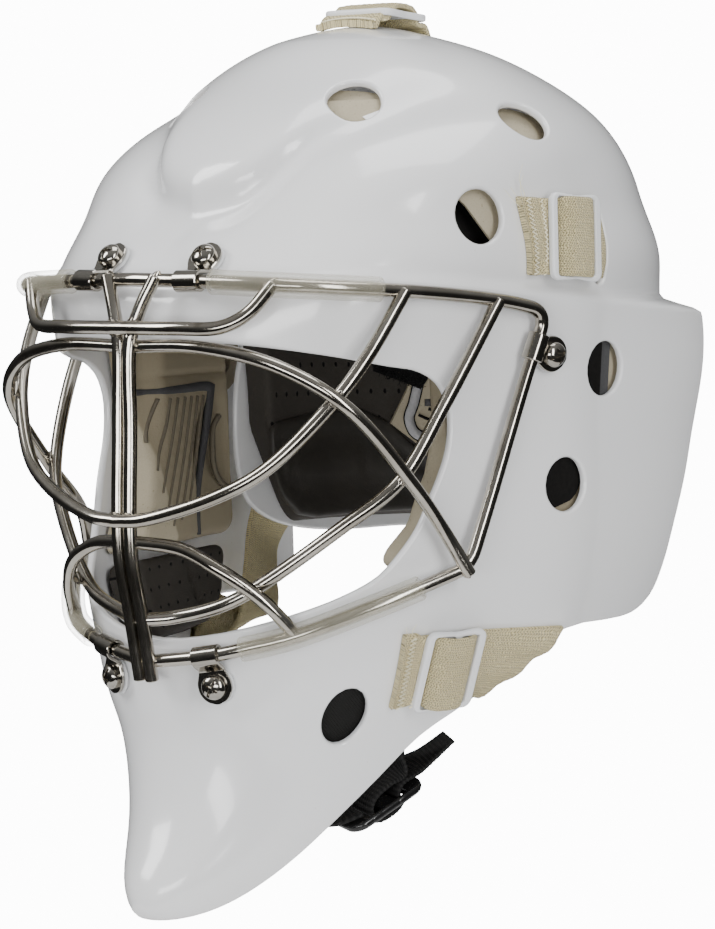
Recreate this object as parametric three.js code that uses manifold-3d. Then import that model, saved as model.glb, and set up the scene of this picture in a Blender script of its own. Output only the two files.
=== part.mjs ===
// Hockey goalie mask: moulded shell, welded wire cage, back plate, elastic straps and foam lining.
// Millimetres, +Z up, the face looks along -Y, the wearer's left is +X, mirror plane x = 0.
import * as THREE from 'three';
import { mergeVertices } from 'three/addons/utils/BufferGeometryUtils.js';
import Module from 'manifold-3d';

const wasm = await Module();
wasm.setup();

// ---- driving dimensions ------------------------------------------------------------------

const SHELL_WALL = 3.0;
const CROWN_Z = 130.3;
const EAR_SPREAD = 9;            // how far the walls stand out beside the ears
const WING_SPREAD = 9;           // and how much further at the rear edge
const LEDGE_Z = 41;              // top of the ledge where the flares start, 40 mm before the ears
const LEDGE_DROP = 8;            // height of the ledge's slope
const LEDGE_FALL = 0.085;        // how steeply the ledge falls to the rear
const EAR_COVE = 6.5;            // how far the dome spreads above the ledge
const CHEEK_FLARE = 2.4;
const PLATEAU_RISE = 5.2;        // raised panel over the crown
const CREASE_DEPTH = 5.7;        // valley beside the raised panel
const SHOULDER_RISE = 2.6;       // soft ridge over the temples
const VENT_RADIUS = 9.6;
const VENT_SIDES = 9;
const DRILL_LENGTH = 24;

const WIRE_RADIUS = 2.4;
const SLEEVE_INNER_RADIUS = 3.4;
const SLEEVE_OUTER_RADIUS = 4.4;

const SCREW_HEAD_RADIUS = 4.4;
const SCREW_SHANK_RADIUS = 2.1;
const SCREW_HOLE_RADIUS = 2.6;
const WASHER_RADIUS = 6.6;
const WASHER_THICKNESS = 1.2;
const CLAMP_THICKNESS = 1.2;
const CLAMP_SLACK = 0.7;         // between the wire and the clip bent round it
const CLAMP_WIDTH = 9.5;
const ROUND_SIDES = 7;           // facets round a screw, washer or hole

const STRAP_WIDTH = 26.5;
const STRAP_THICKNESS = 2.0;
const BUCKLE_ACROSS = 30.5;
const BUCKLE_ALONG = 25.5;
const BUCKLE_THICKNESS = 2.6;
const BUCKLE_RAIL = 3.0;
const BUCKLE_END = 1.6;
const SLOT_WIDTH = 4.5;
const SLOT_LENGTH = 29;

const PLATE_INSET = 7.0;         // back plate's outer face below the shell's outer face
const PLATE_WALL = 2.5;
const SEAT_GAP = 0.3;            // clearance kept between neighbouring pieces

// ---- shell form --------------------------------------------------------------------------

// Level sections from the chin to the crown. front and rear are y, half is the half width and
// power is the squareness of the section.
const SECTIONS = [
  // z, front, rear, half, power
  [-181.5, -117, 64, 18, 2.3],
  [-178, -122, 67, 25, 2.3],
  [-168, -122.5, 73, 33, 2.3],
  [-155, -116, 81, 42, 2.3],
  [-140, -110, 90, 51, 2.3],
  [-120, -107, 100, 61.5, 2.35],
  [-100, -110, 109, 71.5, 2.35],
  [-60, -111, 119, 82, 2.42],
  [-20, -114, 122, 84, 2.58],
  [15, -117, 118, 85, 2.6],
  [40, -113, 109, 91, 2.55],
  [60, -95, 105, 93, 2.45],
  [78, -83, 99, 90, 2.35],
  [95, -66, 87.5, 81, 2.2],
  [109, -46, 71, 63, 2.1],
  [120, -30, 51, 42, 2.0],
  [127, -14, 27, 20, 2.0],
].map(([z, front, rear, half, power]) => (
  { z, mid: (front + rear) / 2, reach: (rear - front) / 2, half, power }
));

// The crease beside the raised crown panel and the soft ridge below it: height over the angle
// from the front.
const CREASE = [[0, 62], [12, 68], [19, 77], [28, 88], [53, 101], [73, 106], [90, 109], [180, 114]];
const SHOULDER = [[0, 52], [25, 60], [47, 72], [62, 76], [80, 84], [120, 90], [180, 92]];

const clamp01 = (t) => Math.min(1, Math.max(0, t));

function smooth(t) {
  const u = clamp01(t);
  return u * u * u * (u * (6 * u - 15) + 10);
}

function bump(distance, width) {
  return Math.exp(-((distance / width) ** 2));
}

// Natural cubic spline through equally spaced values.
function spline(values) {
  const n = values.length;
  const bend = new Array(n).fill(0);
  const pivot = new Array(n).fill(0);
  const load = new Array(n).fill(0);
  for (let i = 1; i < n - 1; i++) {
    const second = 6 * (values[i + 1] - 2 * values[i] + values[i - 1]);
    pivot[i] = 1 / (4 - pivot[i - 1]);
    load[i] = (second - load[i - 1]) * pivot[i];
  }
  for (let i = n - 2; i > 0; i--) bend[i] = load[i] - pivot[i] * bend[i + 1];
  return (t) => {
    const i = Math.min(n - 2, Math.max(0, Math.floor(t)));
    const b = t - i;
    const a = 1 - b;
    const curve = ((a ** 3 - a) * bend[i] + (b ** 3 - b) * bend[i + 1]) / 6;
    return a * values[i] + b * values[i + 1] + curve;
  };
}

// Piecewise smooth curve through rows of angle and height.
function heightOver(rows) {
  return (angle) => {
    let i = 0;
    while (i < rows.length - 2 && angle > rows[i + 1][0]) i++;
    const slope = (k) => {
      const low = rows[Math.max(0, k - 1)];
      const high = rows[Math.min(rows.length - 1, k + 1)];
      return (high[1] - low[1]) / (high[0] - low[0]);
    };
    const [a0, h0] = rows[i];
    const [a1, h1] = rows[i + 1];
    const step = a1 - a0;
    const t = clamp01((angle - a0) / step);
    const hermite = (2 * t ** 3 - 3 * t ** 2 + 1) * h0 + (t ** 3 - 2 * t ** 2 + t) * step * slope(i);
    return hermite + (3 * t ** 2 - 2 * t ** 3) * h1 + (t ** 3 - t ** 2) * step * slope(i + 1);
  };
}

const creaseHeight = heightOver(CREASE);
const shoulderHeight = heightOver(SHOULDER);

// Past the crown the rows repeat in reverse with negative radii, so that the pole is smooth.
function overCrown(column, atPole, mirrorSign) {
  const rows = SECTIONS.map((row) => row[column]);
  const beyond = rows.slice(-3).reverse().map((value) => mirrorSign * value);
  return spline([...rows, atPole ?? rows.at(-1), ...beyond]);
}

const POLE = SECTIONS.length;
const formZ = overCrown('z', CROWN_Z, 1);
const formMid = overCrown('mid', null, 1);
const formReach = overCrown('reach', 0, -1);
const formHalf = overCrown('half', 0, -1);
const formPower = overCrown('power', null, 1);

// Point of the outer face at row parameter v and angle a (0 front, 90 left ear, 180 rear).
// flared = false leaves the ear flares and the crown relief out.
function formPoint(v, a, flared = true) {
  if (v >= POLE) return new THREE.Vector3(0, formMid(POLE), CROWN_Z);
  const side = Math.sin(THREE.MathUtils.degToRad(a));
  const ahead = Math.cos(THREE.MathUtils.degToRad(a));
  const z = formZ(v);
  const half = formHalf(v);
  const reach = formReach(v);
  const power = formPower(v);
  const radius = (Math.abs(side / half) ** power + Math.abs(ahead / reach) ** power) ** (-1 / power);
  const x = radius * side;
  const y = -radius * ahead;
  const outX = Math.sign(side) * Math.abs(x / half) ** (power - 1) / half;
  const outY = Math.sign(y) * Math.abs(y / reach) ** (power - 1) / reach;
  const length = Math.hypot(outX, outY) || 1;
  const push = flared ? relief(Math.abs(x), formMid(v) + y, z) * Math.min(1, radius / 30) : 0;
  return new THREE.Vector3(x + push * outX / length, formMid(v) + y + push * outY / length, z);
}

// Height of the moulded features above the plain sections.
function relief(x, y, z) {
  const angle = THREE.MathUtils.radToDeg(Math.atan2(x, -y));
  const ledge = LEDGE_Z - LEDGE_FALL * (y + 40);
  const belowLedge = smooth((ledge - z) / LEDGE_DROP);
  const cheek = CHEEK_FLARE * smooth((x - 30) / 50) * smooth((z + 120) / 60);
  const wing = WING_SPREAD * Math.max(0, (y - 15) / 65) ** 1.3 * (1 + 0.5 * smooth((z + 30) / 50));
  const ear = (EAR_SPREAD * smooth((y + 50) / 66) + wing) * smooth((z + 150) / 70);
  const cove = EAR_COVE * smooth((y + 50) / 80) * smooth((72 - z) / 34) * (1 - belowLedge);
  const fromCrease = z - creaseHeight(angle);
  const fade = 1 - smooth((angle - 50) / 50);
  const panel = (PLATEAU_RISE * smooth((fromCrease + 9) / 18) - CREASE_DEPTH * bump(fromCrease, 9)) * fade;
  const ridge = SHOULDER_RISE * bump(z - shoulderHeight(angle), 13);
  const ridgeSpan = smooth((angle - 15) / 20) * (1 - smooth((angle - 80) / 40));
  return cove + (cheek + ear) * belowLedge + panel + ridge * ridgeSpan;
}

function formNormal(v, a, flared = true) {
  if (v >= POLE - 0.02) return new THREE.Vector3(0, 0, 1);
  const dv = 0.02;
  const da = 0.5;
  const above = formPoint(Math.min(POLE - 0.01, v + dv), a, flared);
  const up = above.sub(formPoint(Math.max(0, v - dv), a, flared));
  const round = formPoint(v, a + da, flared).sub(formPoint(v, a - da, flared));
  return round.cross(up).normalize();
}

// Frame on the outer face at side-view position y, z: point, outward normal, and the surface
// directions towards the rear and upwards. side is +1 for the wearer's left.
function shellFrame(y, z, side = 1, flared = true) {
  const v = solve((t) => formZ(t), z, 0, POLE);
  const a = solve((t) => formPoint(v, t, flared).y, y, 0, 180);
  const point = formPoint(v, a, flared);
  const normal = formNormal(v, a, flared);
  const rearward = new THREE.Vector3(0, 1, 0).addScaledVector(normal, -normal.y).normalize();
  const upward = new THREE.Vector3().crossVectors(normal, rearward);
  if (upward.z < 0) upward.negate();
  for (const vector of [point, normal, rearward, upward]) vector.x *= side;
  return { point, normal, rearward, upward };
}

// The argument between low and high where a rising function reaches the target.
function solve(f, target, low, high) {
  for (let i = 0; i < 40; i++) {
    const middle = (low + high) / 2;
    if (f(middle) < target) low = middle;
    else high = middle;
  }
  return (low + high) / 2;
}

// ---- geometry helpers --------------------------------------------------------------------

const MERGE_TOLERANCE = 1e-4;
const FACET_TOLERANCE = 0.15;   // finer facets than this are merged

function bareCopy(geometry) {
  const bare = geometry.clone();
  bare.deleteAttribute('normal');
  bare.deleteAttribute('uv');
  return bare;
}

function toSolid(geometry) {
  const merged = mergeVertices(bareCopy(geometry), MERGE_TOLERANCE);
  return new wasm.Manifold(new wasm.Mesh({
    numProp: 3,
    vertProperties: new Float32Array(merged.attributes.position.array),
    triVerts: new Uint32Array(merged.index.array),
  }));
}

function toGeometry(solid) {
  const { vertProperties, triVerts } = solid.simplify(FACET_TOLERANCE).getMesh();
  const geometry = new THREE.BufferGeometry();
  geometry.setAttribute('position', new THREE.BufferAttribute(vertProperties, 3));
  geometry.setIndex(new THREE.BufferAttribute(triVerts, 1));
  geometry.computeVertexNormals();
  return geometry;
}

// Closed solid through rings of equally many points. A ring of one point is a pole.
function loft(rings) {
  const positions = [];
  const starts = rings.map((ring) => {
    const start = positions.length / 3;
    ring.forEach((p) => positions.push(p.x, p.y, p.z));
    return start;
  });
  const triangles = [];
  for (let r = 0; r < rings.length - 1; r++) {
    const low = rings[r].length;
    const high = rings[r + 1].length;
    const count = Math.max(low, high);
    for (let i = 0; i < count; i++) {
      const j = (i + 1) % count;
      const a = starts[r] + (i % low);
      const b = starts[r] + (j % low);
      const c = starts[r + 1] + (j % high);
      const d = starts[r + 1] + (i % high);
      if (low > 1) triangles.push(a, b, c);
      if (high > 1) triangles.push(a, c, d);
    }
  }
  capRing(rings[0], starts[0], triangles, true);
  capRing(rings.at(-1), starts.at(-1), triangles, false);
  const geometry = new THREE.BufferGeometry();
  geometry.setAttribute('position', new THREE.Float32BufferAttribute(positions, 3));
  geometry.setIndex(triangles);
  return facingOut(geometry);
}

function capRing(ring, start, triangles, reversed) {
  for (let i = 1; i < ring.length - 1; i++) {
    if (reversed) triangles.push(start, start + i + 1, start + i);
    else triangles.push(start, start + i, start + i + 1);
  }
}

// Flips a closed geometry whose faces point inwards.
function facingOut(geometry) {
  const position = geometry.attributes.position;
  const index = geometry.index.array;
  const [a, b, c] = [new THREE.Vector3(), new THREE.Vector3(), new THREE.Vector3()];
  let volume = 0;
  for (let i = 0; i < index.length; i += 3) {
    a.fromBufferAttribute(position, index[i]);
    b.fromBufferAttribute(position, index[i + 1]);
    c.fromBufferAttribute(position, index[i + 2]);
    volume += a.dot(b.cross(c));
  }
  if (volume < 0) {
    for (let i = 0; i < index.length; i += 3) [index[i + 1], index[i + 2]] = [index[i + 2], index[i + 1]];
  }
  geometry.computeVertexNormals();
  return geometry;
}

const vec = (x, y, z) => new THREE.Vector3(x, y, z);
const mirrored = (points) => points.map((p) => vec(-p.x, p.y, p.z));

// Matrix of a piece whose local z is the normal and local x the given direction.
function placement(point, normal, along) {
  const across = new THREE.Vector3().crossVectors(normal, along).normalize();
  const trueAlong = new THREE.Vector3().crossVectors(across, normal).normalize();
  return new THREE.Matrix4().makeBasis(trueAlong, across, normal).setPosition(point);
}

const WHITE_SHELL = { color: 0xeceded, roughness: 0.18, metalness: 0 };
const STEEL = { color: 0xb9b6b0, roughness: 0.2, metalness: 1 };
const CLEAR_VINYL = { color: 0xe6e2cf, roughness: 0.25, metalness: 0, transparent: true, opacity: 0.5 };
const NYLON = { color: 0xf1f1ec, roughness: 0.35, metalness: 0 };
const ELASTIC = { color: 0xd9cda6, roughness: 0.95, metalness: 0 };
const WHITE_PLASTIC = { color: 0xf2f3f1, roughness: 0.35, metalness: 0 };
const BEIGE_FOAM = { color: 0xa39a80, roughness: 0.9, metalness: 0 };
const BLACK_FOAM = { color: 0x2b2825, roughness: 0.9, metalness: 0 };
const BLACK_WEBBING = { color: 0x1c1c1d, roughness: 0.85, metalness: 0 };
const BLACK_PLASTIC = { color: 0x101011, roughness: 0.25, metalness: 0 };

const mask = new THREE.Group();

function addPiece(name, geometry, look) {
  const mesh = new THREE.Mesh(geometry, new THREE.MeshStandardMaterial(look));
  mesh.name = name;
  mask.add(mesh);
}

// Adds the left piece and its mirror image.
function addPair(name, geometry, look) {
  addPiece(`${name}_left`, geometry, look);
  addPiece(`${name}_right`, mirrorImage(geometry), look);
}

// Copy mirrored in the plane x = 0, with its faces turned back to face outwards.
function mirrorImage(geometry) {
  const other = mergeVertices(bareCopy(geometry), MERGE_TOLERANCE);
  return facingOut(other.applyMatrix4(new THREE.Matrix4().makeScale(-1, 1, 1)));
}

// ---- shell -------------------------------------------------------------------------------

// Rows at which the faceted walls have a ring, closer where the relief turns sharply, and those of
// the plain form of the back plate.
const RING_ROWS = [0, 1, 2.2, 3.5, 5, 6, 7, 8, 9, 9.3, 9.6, 10, 10.6, 11.3, 12, 12.8, 13.6, 14.6, 15.6, 16.4];
const PLAIN_ROWS = [0, 2, 4, 5.5, 7, 8, 9, 10, 11, 12, 13.2, 14.6, 16.2];
const AROUND = 30;

// Closed body inside the form, sunk by inset below the outer face. dropBelow lowers its open
// end past the chin so that it cuts right through.
function formBody(inset, dropBelow, flared = true) {
  const rings = [];
  const step = 360 / AROUND;
  for (const v of flared ? RING_ROWS : PLAIN_ROWS) {
    const ring = [];
    for (let i = 0; i < AROUND; i++) {
      const a = -180 + (i + 0.5) * step;
      ring.push(formPoint(v, a, flared).addScaledVector(formNormal(v, a, flared), -inset));
    }
    rings.push(ring);
  }
  if (dropBelow) rings.unshift(rings[0].map((p) => vec(p.x, p.y, p.z - dropBelow)));
  rings.push([vec(0, formMid(POLE), CROWN_Z - inset)]);
  return toSolid(loft(rings));
}

// Side-view outline (y, z) of what the shell covers: crown, rear of the dome, ear flare, jaw
// and chin.
const SHELL_REAR = [
  [38, 150], [40, 132], [47, 118], [58, 105], [66, 92], [70, 80], [72, 66], [73, 50], [74, 40], [78, 31],
  [83, 23], [85, 14], [83.5, -6], [76.3, -30.4], [68.6, -52], [65, -68.5], [61.6, -78.4], [54, -84],
  [43, -86], [8, -87], [-8, -95], [-25, -111], [-41, -122], [-53, -135.5], [-65, -148.5], [-77, -161],
  [-89, -170.5], [-102, -177.5], [-113, -182], [-118, -200], [-150, -200], [-150, 150],
];

// Prism across the mask from a closed side-view outline.
function sidePrism(outline) {
  const shape = new THREE.Shape(outline.map(([y, z]) => new THREE.Vector2(y, z)));
  const halfWidth = 160;
  const prism = new THREE.ExtrudeGeometry(shape, { depth: 2 * halfWidth, bevelEnabled: false });
  const basis = new THREE.Matrix4().makeBasis(vec(0, 1, 0), vec(0, 0, 1), vec(1, 0, 0));
  return toSolid(prism.applyMatrix4(basis.setPosition(-halfWidth, 0, 0)));
}

// Face opening, left half: angle from the front and height, from the top centre to the bottom.
const OPENING = [
  [0, 19.5], [18, 18], [32, 14.5], [44, 10], [50, 8], [54.5, 3.5], [57, -4], [57.5, -12],
  [56.8, -20], [55, -28], [52.5, -37], [50, -46], [46, -55], [42, -62], [35.5, -68],
  [27.5, -73.3], [13, -80.5], [0, -83.5],
];

// Wedge from the head's axis outwards whose sides follow the opening's outline.
function openingCutter() {
  const left = OPENING.slice(1, -1);
  const outline = [...OPENING, ...left.reverse().map(([a, z]) => [-a, z])];
  const centreZ = -30;
  const at = (a, z, r, shrink) => {
    const angle = THREE.MathUtils.degToRad(a * shrink);
    return vec(r * Math.sin(angle), -r * Math.cos(angle), centreZ + (z - centreZ) * shrink);
  };
  const face = (r, shrinks) => shrinks.map((s) => outline.map(([a, z]) => at(a, z, r, s)));
  const centre = (r) => [vec(0, -r, centreZ)];
  const nearRadius = 35;
  const farRadius = 175;
  return toSolid(loft([
    centre(nearRadius), ...face(nearRadius, [0.5, 1]),
    ...face(farRadius, [1, 0.75, 0.5, 0.25]), centre(farRadius),
  ]));
}

// Vent holes of the left side: side-view position of the centres, and for a hole that isn't round
// its radii along and across the wall as multiples of the vent radius.
const VENTS = [
  { y: -50.5, z: 101.7 }, { y: -8.3, z: 94.3 }, { y: -42, z: 60.3 },
  { y: 19.5, z: 6 }, { y: -1.7, z: -33.9 }, { y: -75.5, z: -111, across: 0.86, tall: 1.12 },
];

// Round bar along z about the origin, for cutting a hole.
function drill(radius, sides) {
  return new THREE.CylinderGeometry(radius, radius, DRILL_LENGTH, sides).rotateX(Math.PI / 2);
}

function ventCutter(vent, side) {
  const frame = shellFrame(vent.y, vent.z, side);
  const matrix = placement(frame.point, frame.normal, frame.rearward);
  const bar = drill(VENT_RADIUS, VENT_SIDES).scale(vent.across ?? 1, vent.tall ?? 1, 1);
  return toSolid(bar.applyMatrix4(matrix));
}

// ---- strap runs --------------------------------------------------------------------------

// A strap run on the outer face: buckle centre in side view, lean of the run below the
// horizontal in degrees, tail length before the buckle, slant of the tail's end (length per width)
// and slot distance behind the buckle.
const UPPER_RUN = { y: -3.2, z: 52.4, lean: 3, tail: 21.3, slant: 0.2, slot: 20.3 };
const LOWER_RUN = { y: -43.6, z: -95, lean: 0, tail: 19, slant: 0.1 };
const TOP_RUN = { y: 10.6, tail: 18, slant: 0, slot: 17 };

// Surface frame at distance s behind the buckle and w above the centre line.
function runFrame(run, s, w, flared) {
  const lean = THREE.MathUtils.degToRad(run.lean);
  const y = run.y + s * Math.cos(lean) + w * Math.sin(lean);
  const z = run.z - s * Math.sin(lean) + w * Math.cos(lean);
  return shellFrame(y, z, 1, flared);
}

// Places a strap on the outer face: at(s, w, height) is a point over distance s along the run and
// w across it. Its seat is the flat on which the buckle lies.
function strapLine(frameAt) {
  const at = (s, w, height, flared = true) => {
    const { point, normal } = frameAt(s, w, flared);
    return point.clone().addScaledVector(normal, height);
  };
  const [halfAlong, halfAcross] = [BUCKLE_ALONG / 2, BUCKLE_ACROSS / 2];
  const along = at(halfAlong, 0, 0).sub(at(-halfAlong, 0, 0)).normalize();
  const sideways = at(0, halfAcross, 0).sub(at(0, -halfAcross, 0));
  const normal = new THREE.Vector3().crossVectors(along, sideways).normalize();
  const across = new THREE.Vector3().crossVectors(normal, along);
  const origin = at(0, 0, 0);
  const heights = [];
  for (const s of [-1, 0, 1]) {
    for (const w of [-1, 0, 1]) heights.push(at(s * halfAlong, w * halfAcross, 0).sub(origin).dot(normal));
  }
  origin.addScaledVector(normal, Math.max(...heights));
  const overSeat = (s, w, height) => (
    origin.clone().addScaledVector(along, s).addScaledVector(across, w).addScaledVector(normal, height)
  );
  return { at, overSeat, origin, along, normal };
}

// Frame on the crown under the point x, y.
function crownFrame(x, y, flared) {
  const angleAt = (v) => THREE.MathUtils.radToDeg(Math.atan2(x, formMid(v) - y));
  const shortfall = (v) => {
    const p = formPoint(v, angleAt(v), flared);
    return Math.hypot(x, y - formMid(v)) - Math.hypot(p.x, p.y - formMid(v));
  };
  const v = solve(shortfall, 0, POLE - 7, POLE - 0.001);
  return { point: formPoint(v, angleAt(v), flared), normal: formNormal(v, angleAt(v), flared) };
}

const upperLine = strapLine((s, w, flared) => runFrame(UPPER_RUN, s, w, flared));
const lowerLine = strapLine((s, w, flared) => runFrame(LOWER_RUN, s, w, flared));
const topLine = strapLine((s, w, flared) => crownFrame(-w, TOP_RUN.y + s, flared));

// Heights of a strap's middle: lying on the shell, over the buckle's bar, inside the shell and, above
// the plain form, lying on the back plate.
const FLAT = STRAP_THICKNESS / 2 + SEAT_GAP;
const RAIL_BASE = STRAP_THICKNESS + 2 * SEAT_GAP;
const HUMP = RAIL_BASE + BUCKLE_THICKNESS + SEAT_GAP + STRAP_THICKNESS / 2;
const INSIDE = -(SHELL_WALL + SEAT_GAP + STRAP_THICKNESS / 2 + 0.2);
const ON_PLATE = FLAT + 0.2 - PLATE_INSET;

// Half of the way through the buckle, from under a rail to the top of the bar.
const THROUGH_BUCKLE = [
  [13.4, FLAT], [10.8, FLAT], [8.4, FLAT + 0.7], [7, HUMP - 2.2], [5, HUMP - 0.6], [2, HUMP],
];

// Stations of a strap from its tail end to just behind its buckle.
function buckledStations(line, { tail, slant }) {
  const heights = [
    ...THROUGH_BUCKLE.map(([s, h]) => [-s, h]),
    ...[...THROUGH_BUCKLE].reverse(),
  ];
  const stations = heights.map(([s, h]) => ACROSS.map((w) => line.overSeat(s, w, h)));
  return [ACROSS.map((w) => line.at(-tail - slant * w, w, FLAT)), ...stations];
}

// Strap through stations of points across it, with its thickness centred on them.
function band(stations) {
  const last = stations.length - 1;
  const across = stations[0].length - 1;
  const sheet = (offset) => stations.map((station, i) => station.map((p, j) => {
    const forward = stations[Math.min(last, i + 1)][j].clone().sub(stations[Math.max(0, i - 1)][j]);
    const sideways = station[Math.min(across, j + 1)].clone().sub(station[Math.max(0, j - 1)]);
    const normal = new THREE.Vector3().crossVectors(forward, sideways).normalize();
    return p.clone().addScaledVector(normal, offset);
  }));
  return slab(sheet(STRAP_THICKNESS / 2), sheet(-STRAP_THICKNESS / 2));
}

// Distances across a strap at which it has a line of points, from one edge to the other.
const ACROSS = [-0.5, 0, 0.5].map((share) => share * STRAP_WIDTH);

// Stations down through the slot at distance slot and inside the shell to the back plate, on which
// the strap's end lies.
function throughSlot(line, slot, length) {
  const heights = [[slot - 1.6, FLAT - 0.5], [slot, -1.5], [slot + 1.6, INSIDE + 0.6], [slot + 4.5, INSIDE]];
  const stations = heights.map(([s, h]) => ACROSS.map((w) => line.at(s, w, h)));
  for (const s of [slot + 0.6 * length, slot + length]) {
    stations.push(ACROSS.map((w) => line.at(s, w, ON_PLATE, false)));
  }
  return stations;
}

function upperStrap() {
  return band([...buckledStations(upperLine, UPPER_RUN), ...throughSlot(upperLine, UPPER_RUN.slot, 30)]);
}

function topStrap() {
  return band([...buckledStations(topLine, TOP_RUN), ...throughSlot(topLine, TOP_RUN.slot, 28)]);
}

// The lower strap folds over the slanting jaw edge and climbs inside to the back plate.
function lowerStrap() {
  const stations = buckledStations(lowerLine, LOWER_RUN);
  const between = (lower, upper) => ACROSS.map((w) => lower.clone().lerp(upper, w / STRAP_WIDTH + 0.5));
  const lowerRim = vec(0, -23.5, -108.5);
  const upperRim = vec(0, 6, -86.5);
  const offRim = vec(0, 0.62, -0.78);
  const rimStation = (height, out) => between(lowerRim, upperRim).map((at) => {
    const rim = shellFrame(at.y, at.z);
    return rim.point.addScaledVector(rim.normal, height).addScaledVector(offRim, out);
  });
  stations.push(rimStation(FLAT, 0));
  stations.push(rimStation(-SHELL_WALL / 2, 2.2));
  stations.push(rimStation(-SHELL_WALL - FLAT - 0.3, 0));
  stations.push(between(vec(63, 0, -94), vec(67, 27, -92)));
  stations.push(between(vec(68.5, 12, -75), vec(74, 37, -77)));
  stations.push(between(vec(76.5, 25, -56), vec(81, 48, -66)));
  const onPlate = (y, z) => {
    const plate = shellFrame(y, z, 1, false);
    return plate.point.addScaledVector(plate.normal, ON_PLATE);
  };
  stations.push(between(onPlate(38, -34), onPlate(60, -48)));
  stations.push(between(onPlate(50, -22), onPlate(72, -36)));
  return band(stations);
}

// Flat plate lying on z = 0 with two slots across it, each width wide and centred at +-slotAt along x.
function slottedPlate(outline, thickness, width, length, slotAt) {
  let plate = toSolid(new THREE.ExtrudeGeometry(outline, { depth: thickness, bevelEnabled: false }));
  for (const side of [-1, 1]) {
    const slot = new THREE.BoxGeometry(width, length, 3 * thickness);
    plate = plate.subtract(toSolid(slot.translate(side * slotAt, 0, 0)));
  }
  return toGeometry(plate);
}

function buckle() {
  const bar = 1.6;
  const width = BUCKLE_ALONG / 2 - BUCKLE_RAIL - bar;
  const outline = roundedRectangle(BUCKLE_ALONG, BUCKLE_ACROSS, 3.5, 1);
  return slottedPlate(outline, BUCKLE_THICKNESS, width, BUCKLE_ACROSS - 2 * BUCKLE_END, bar + width / 2);
}

// Rectangle whose corners are rounded with the given number of facets.
function roundedRectangle(width, height, radius, facets) {
  const points = [];
  [[1, -1], [1, 1], [-1, 1], [-1, -1]].forEach(([i, j], corner) => {
    for (let k = 0; k <= facets; k++) {
      const angle = Math.PI / 2 * (corner - 1 + k / facets);
      const x = i * (width / 2 - radius) + radius * Math.cos(angle);
      points.push(new THREE.Vector2(x, j * (height / 2 - radius) + radius * Math.sin(angle)));
    }
  });
  return new THREE.Shape(points);
}

// ---- wire cage ---------------------------------------------------------------------------

// Left halves of the wires, from the mirror plane outwards.
const FRAME_TOP = [
  [0, -122, 40], [24, -119.5, 39.5], [60, -111, 38], [83, -77, 35.5], [93.5, -39, 31.5],
  [98, -18.5, 27.5],
];
const FRAME_SIDE = [[98, -18.5, 27.5], [94, -25.5, 5], [90, -40, -34], [88, -50.5, -59]];
const FRAME_BOTTOM = [
  [0, -118, -91], [23, -112.5, -88], [36, -108, -85], [50, -100.5, -81], [72, -78, -70],
  [88, -50.5, -59],
];
const CENTRE_WIRE = [
  [11, -123, 41], [6, -125.5, 30], [2.7, -127, 19], [2.7, -127.5, -10], [2.7, -128, -53],
  [2.7, -123.5, -73], [2.7, -118.5, -97],
];
const VISOR = [[0, -131, 24], [25, -130, 24], [42, -125, 24.5], [49.5, -120, 29], [56, -114.5, 38.5]];
const UPPER_ARCH = [
  [0, -124.5, 17.5], [32, -124, 17.5], [59, -117, 11.5], [78, -104, -2], [84.5, -78, -28.5],
  [85, -61, -46], [89.2, -52.2, -61.2],
];
const U_WIRE = [
  [0, -132, -41.5], [12, -131.5, -40.5], [39, -124.5, -32], [55, -117.5, -22.5], [72, -104, -1],
  [79, -93.5, 14.5], [83.5, -79, 35.5],
];
const DIAGONAL = [
  [2.7, -122, -76], [12, -116.5, -75], [33, -110, -68.5], [66, -91, -43], [80, -79, -28.5],
  [88, -64, -3], [94, -41, 31.5],
];
const LOWER_ARCH = [
  [2.7, -126.5, -49], [20, -121.5, -51], [33, -118.5, -57], [45, -109, -68], [51.5, -99, -80.5],
];

const WIRE_SIDES = 5;
const WIRE_STEP = 23;             // length of a straight stretch along a bent wire

const toVectors = (rows) => rows.map(([x, y, z]) => vec(x, y, z));

// Curve over both halves of a wire that crosses the mirror plane.
function acrossCurve(rows) {
  const left = toVectors(rows);
  return new THREE.CatmullRomCurve3([...mirrored(left.slice(1)).reverse(), ...left]);
}

function tube(curve, radius, holeRadius = 0, sides = WIRE_SIDES) {
  const section = circle(radius, sides);
  if (holeRadius) section.holes.push(circle(holeRadius, sides));
  const steps = Math.max(2, Math.round(curve.getLength() / WIRE_STEP));
  return new THREE.ExtrudeGeometry(section, { steps, extrudePath: curve, bevelEnabled: false });
}

function circle(radius, sides) {
  const corners = [];
  for (let i = 0; i < sides; i++) {
    const a = (i + 0.5) * 2 * Math.PI / sides;
    corners.push(new THREE.Vector2(radius * Math.cos(a), radius * Math.sin(a)));
  }
  return new THREE.Shape(corners);
}

const frameSideCurve = new THREE.CatmullRomCurve3(toVectors(FRAME_SIDE));
const frameTopCurve = acrossCurve(FRAME_TOP);
const frameBottomCurve = acrossCurve(FRAME_BOTTOM);

function cageSolid() {
  const curves = [frameTopCurve, frameBottomCurve, ...[VISOR, UPPER_ARCH, U_WIRE].map(acrossCurve)];
  for (const rows of [FRAME_SIDE, CENTRE_WIRE, DIAGONAL, LOWER_ARCH]) {
    const left = toVectors(rows);
    curves.push(new THREE.CatmullRomCurve3(left), new THREE.CatmullRomCurve3(mirrored(left)));
  }
  let cage = curves.map((curve) => toSolid(tube(curve, WIRE_RADIUS))).reduce((all, wire) => all.add(wire));
  for (const corner of [FRAME_SIDE[0], FRAME_SIDE.at(-1)]) {
    for (const side of [-1, 1]) {
      const knot = new THREE.IcosahedronGeometry(WIRE_RADIUS + 0.6, 0);
      cage = cage.add(toSolid(knot.translate(side * corner[0], corner[1], corner[2])));
    }
  }
  return cage;
}

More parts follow.
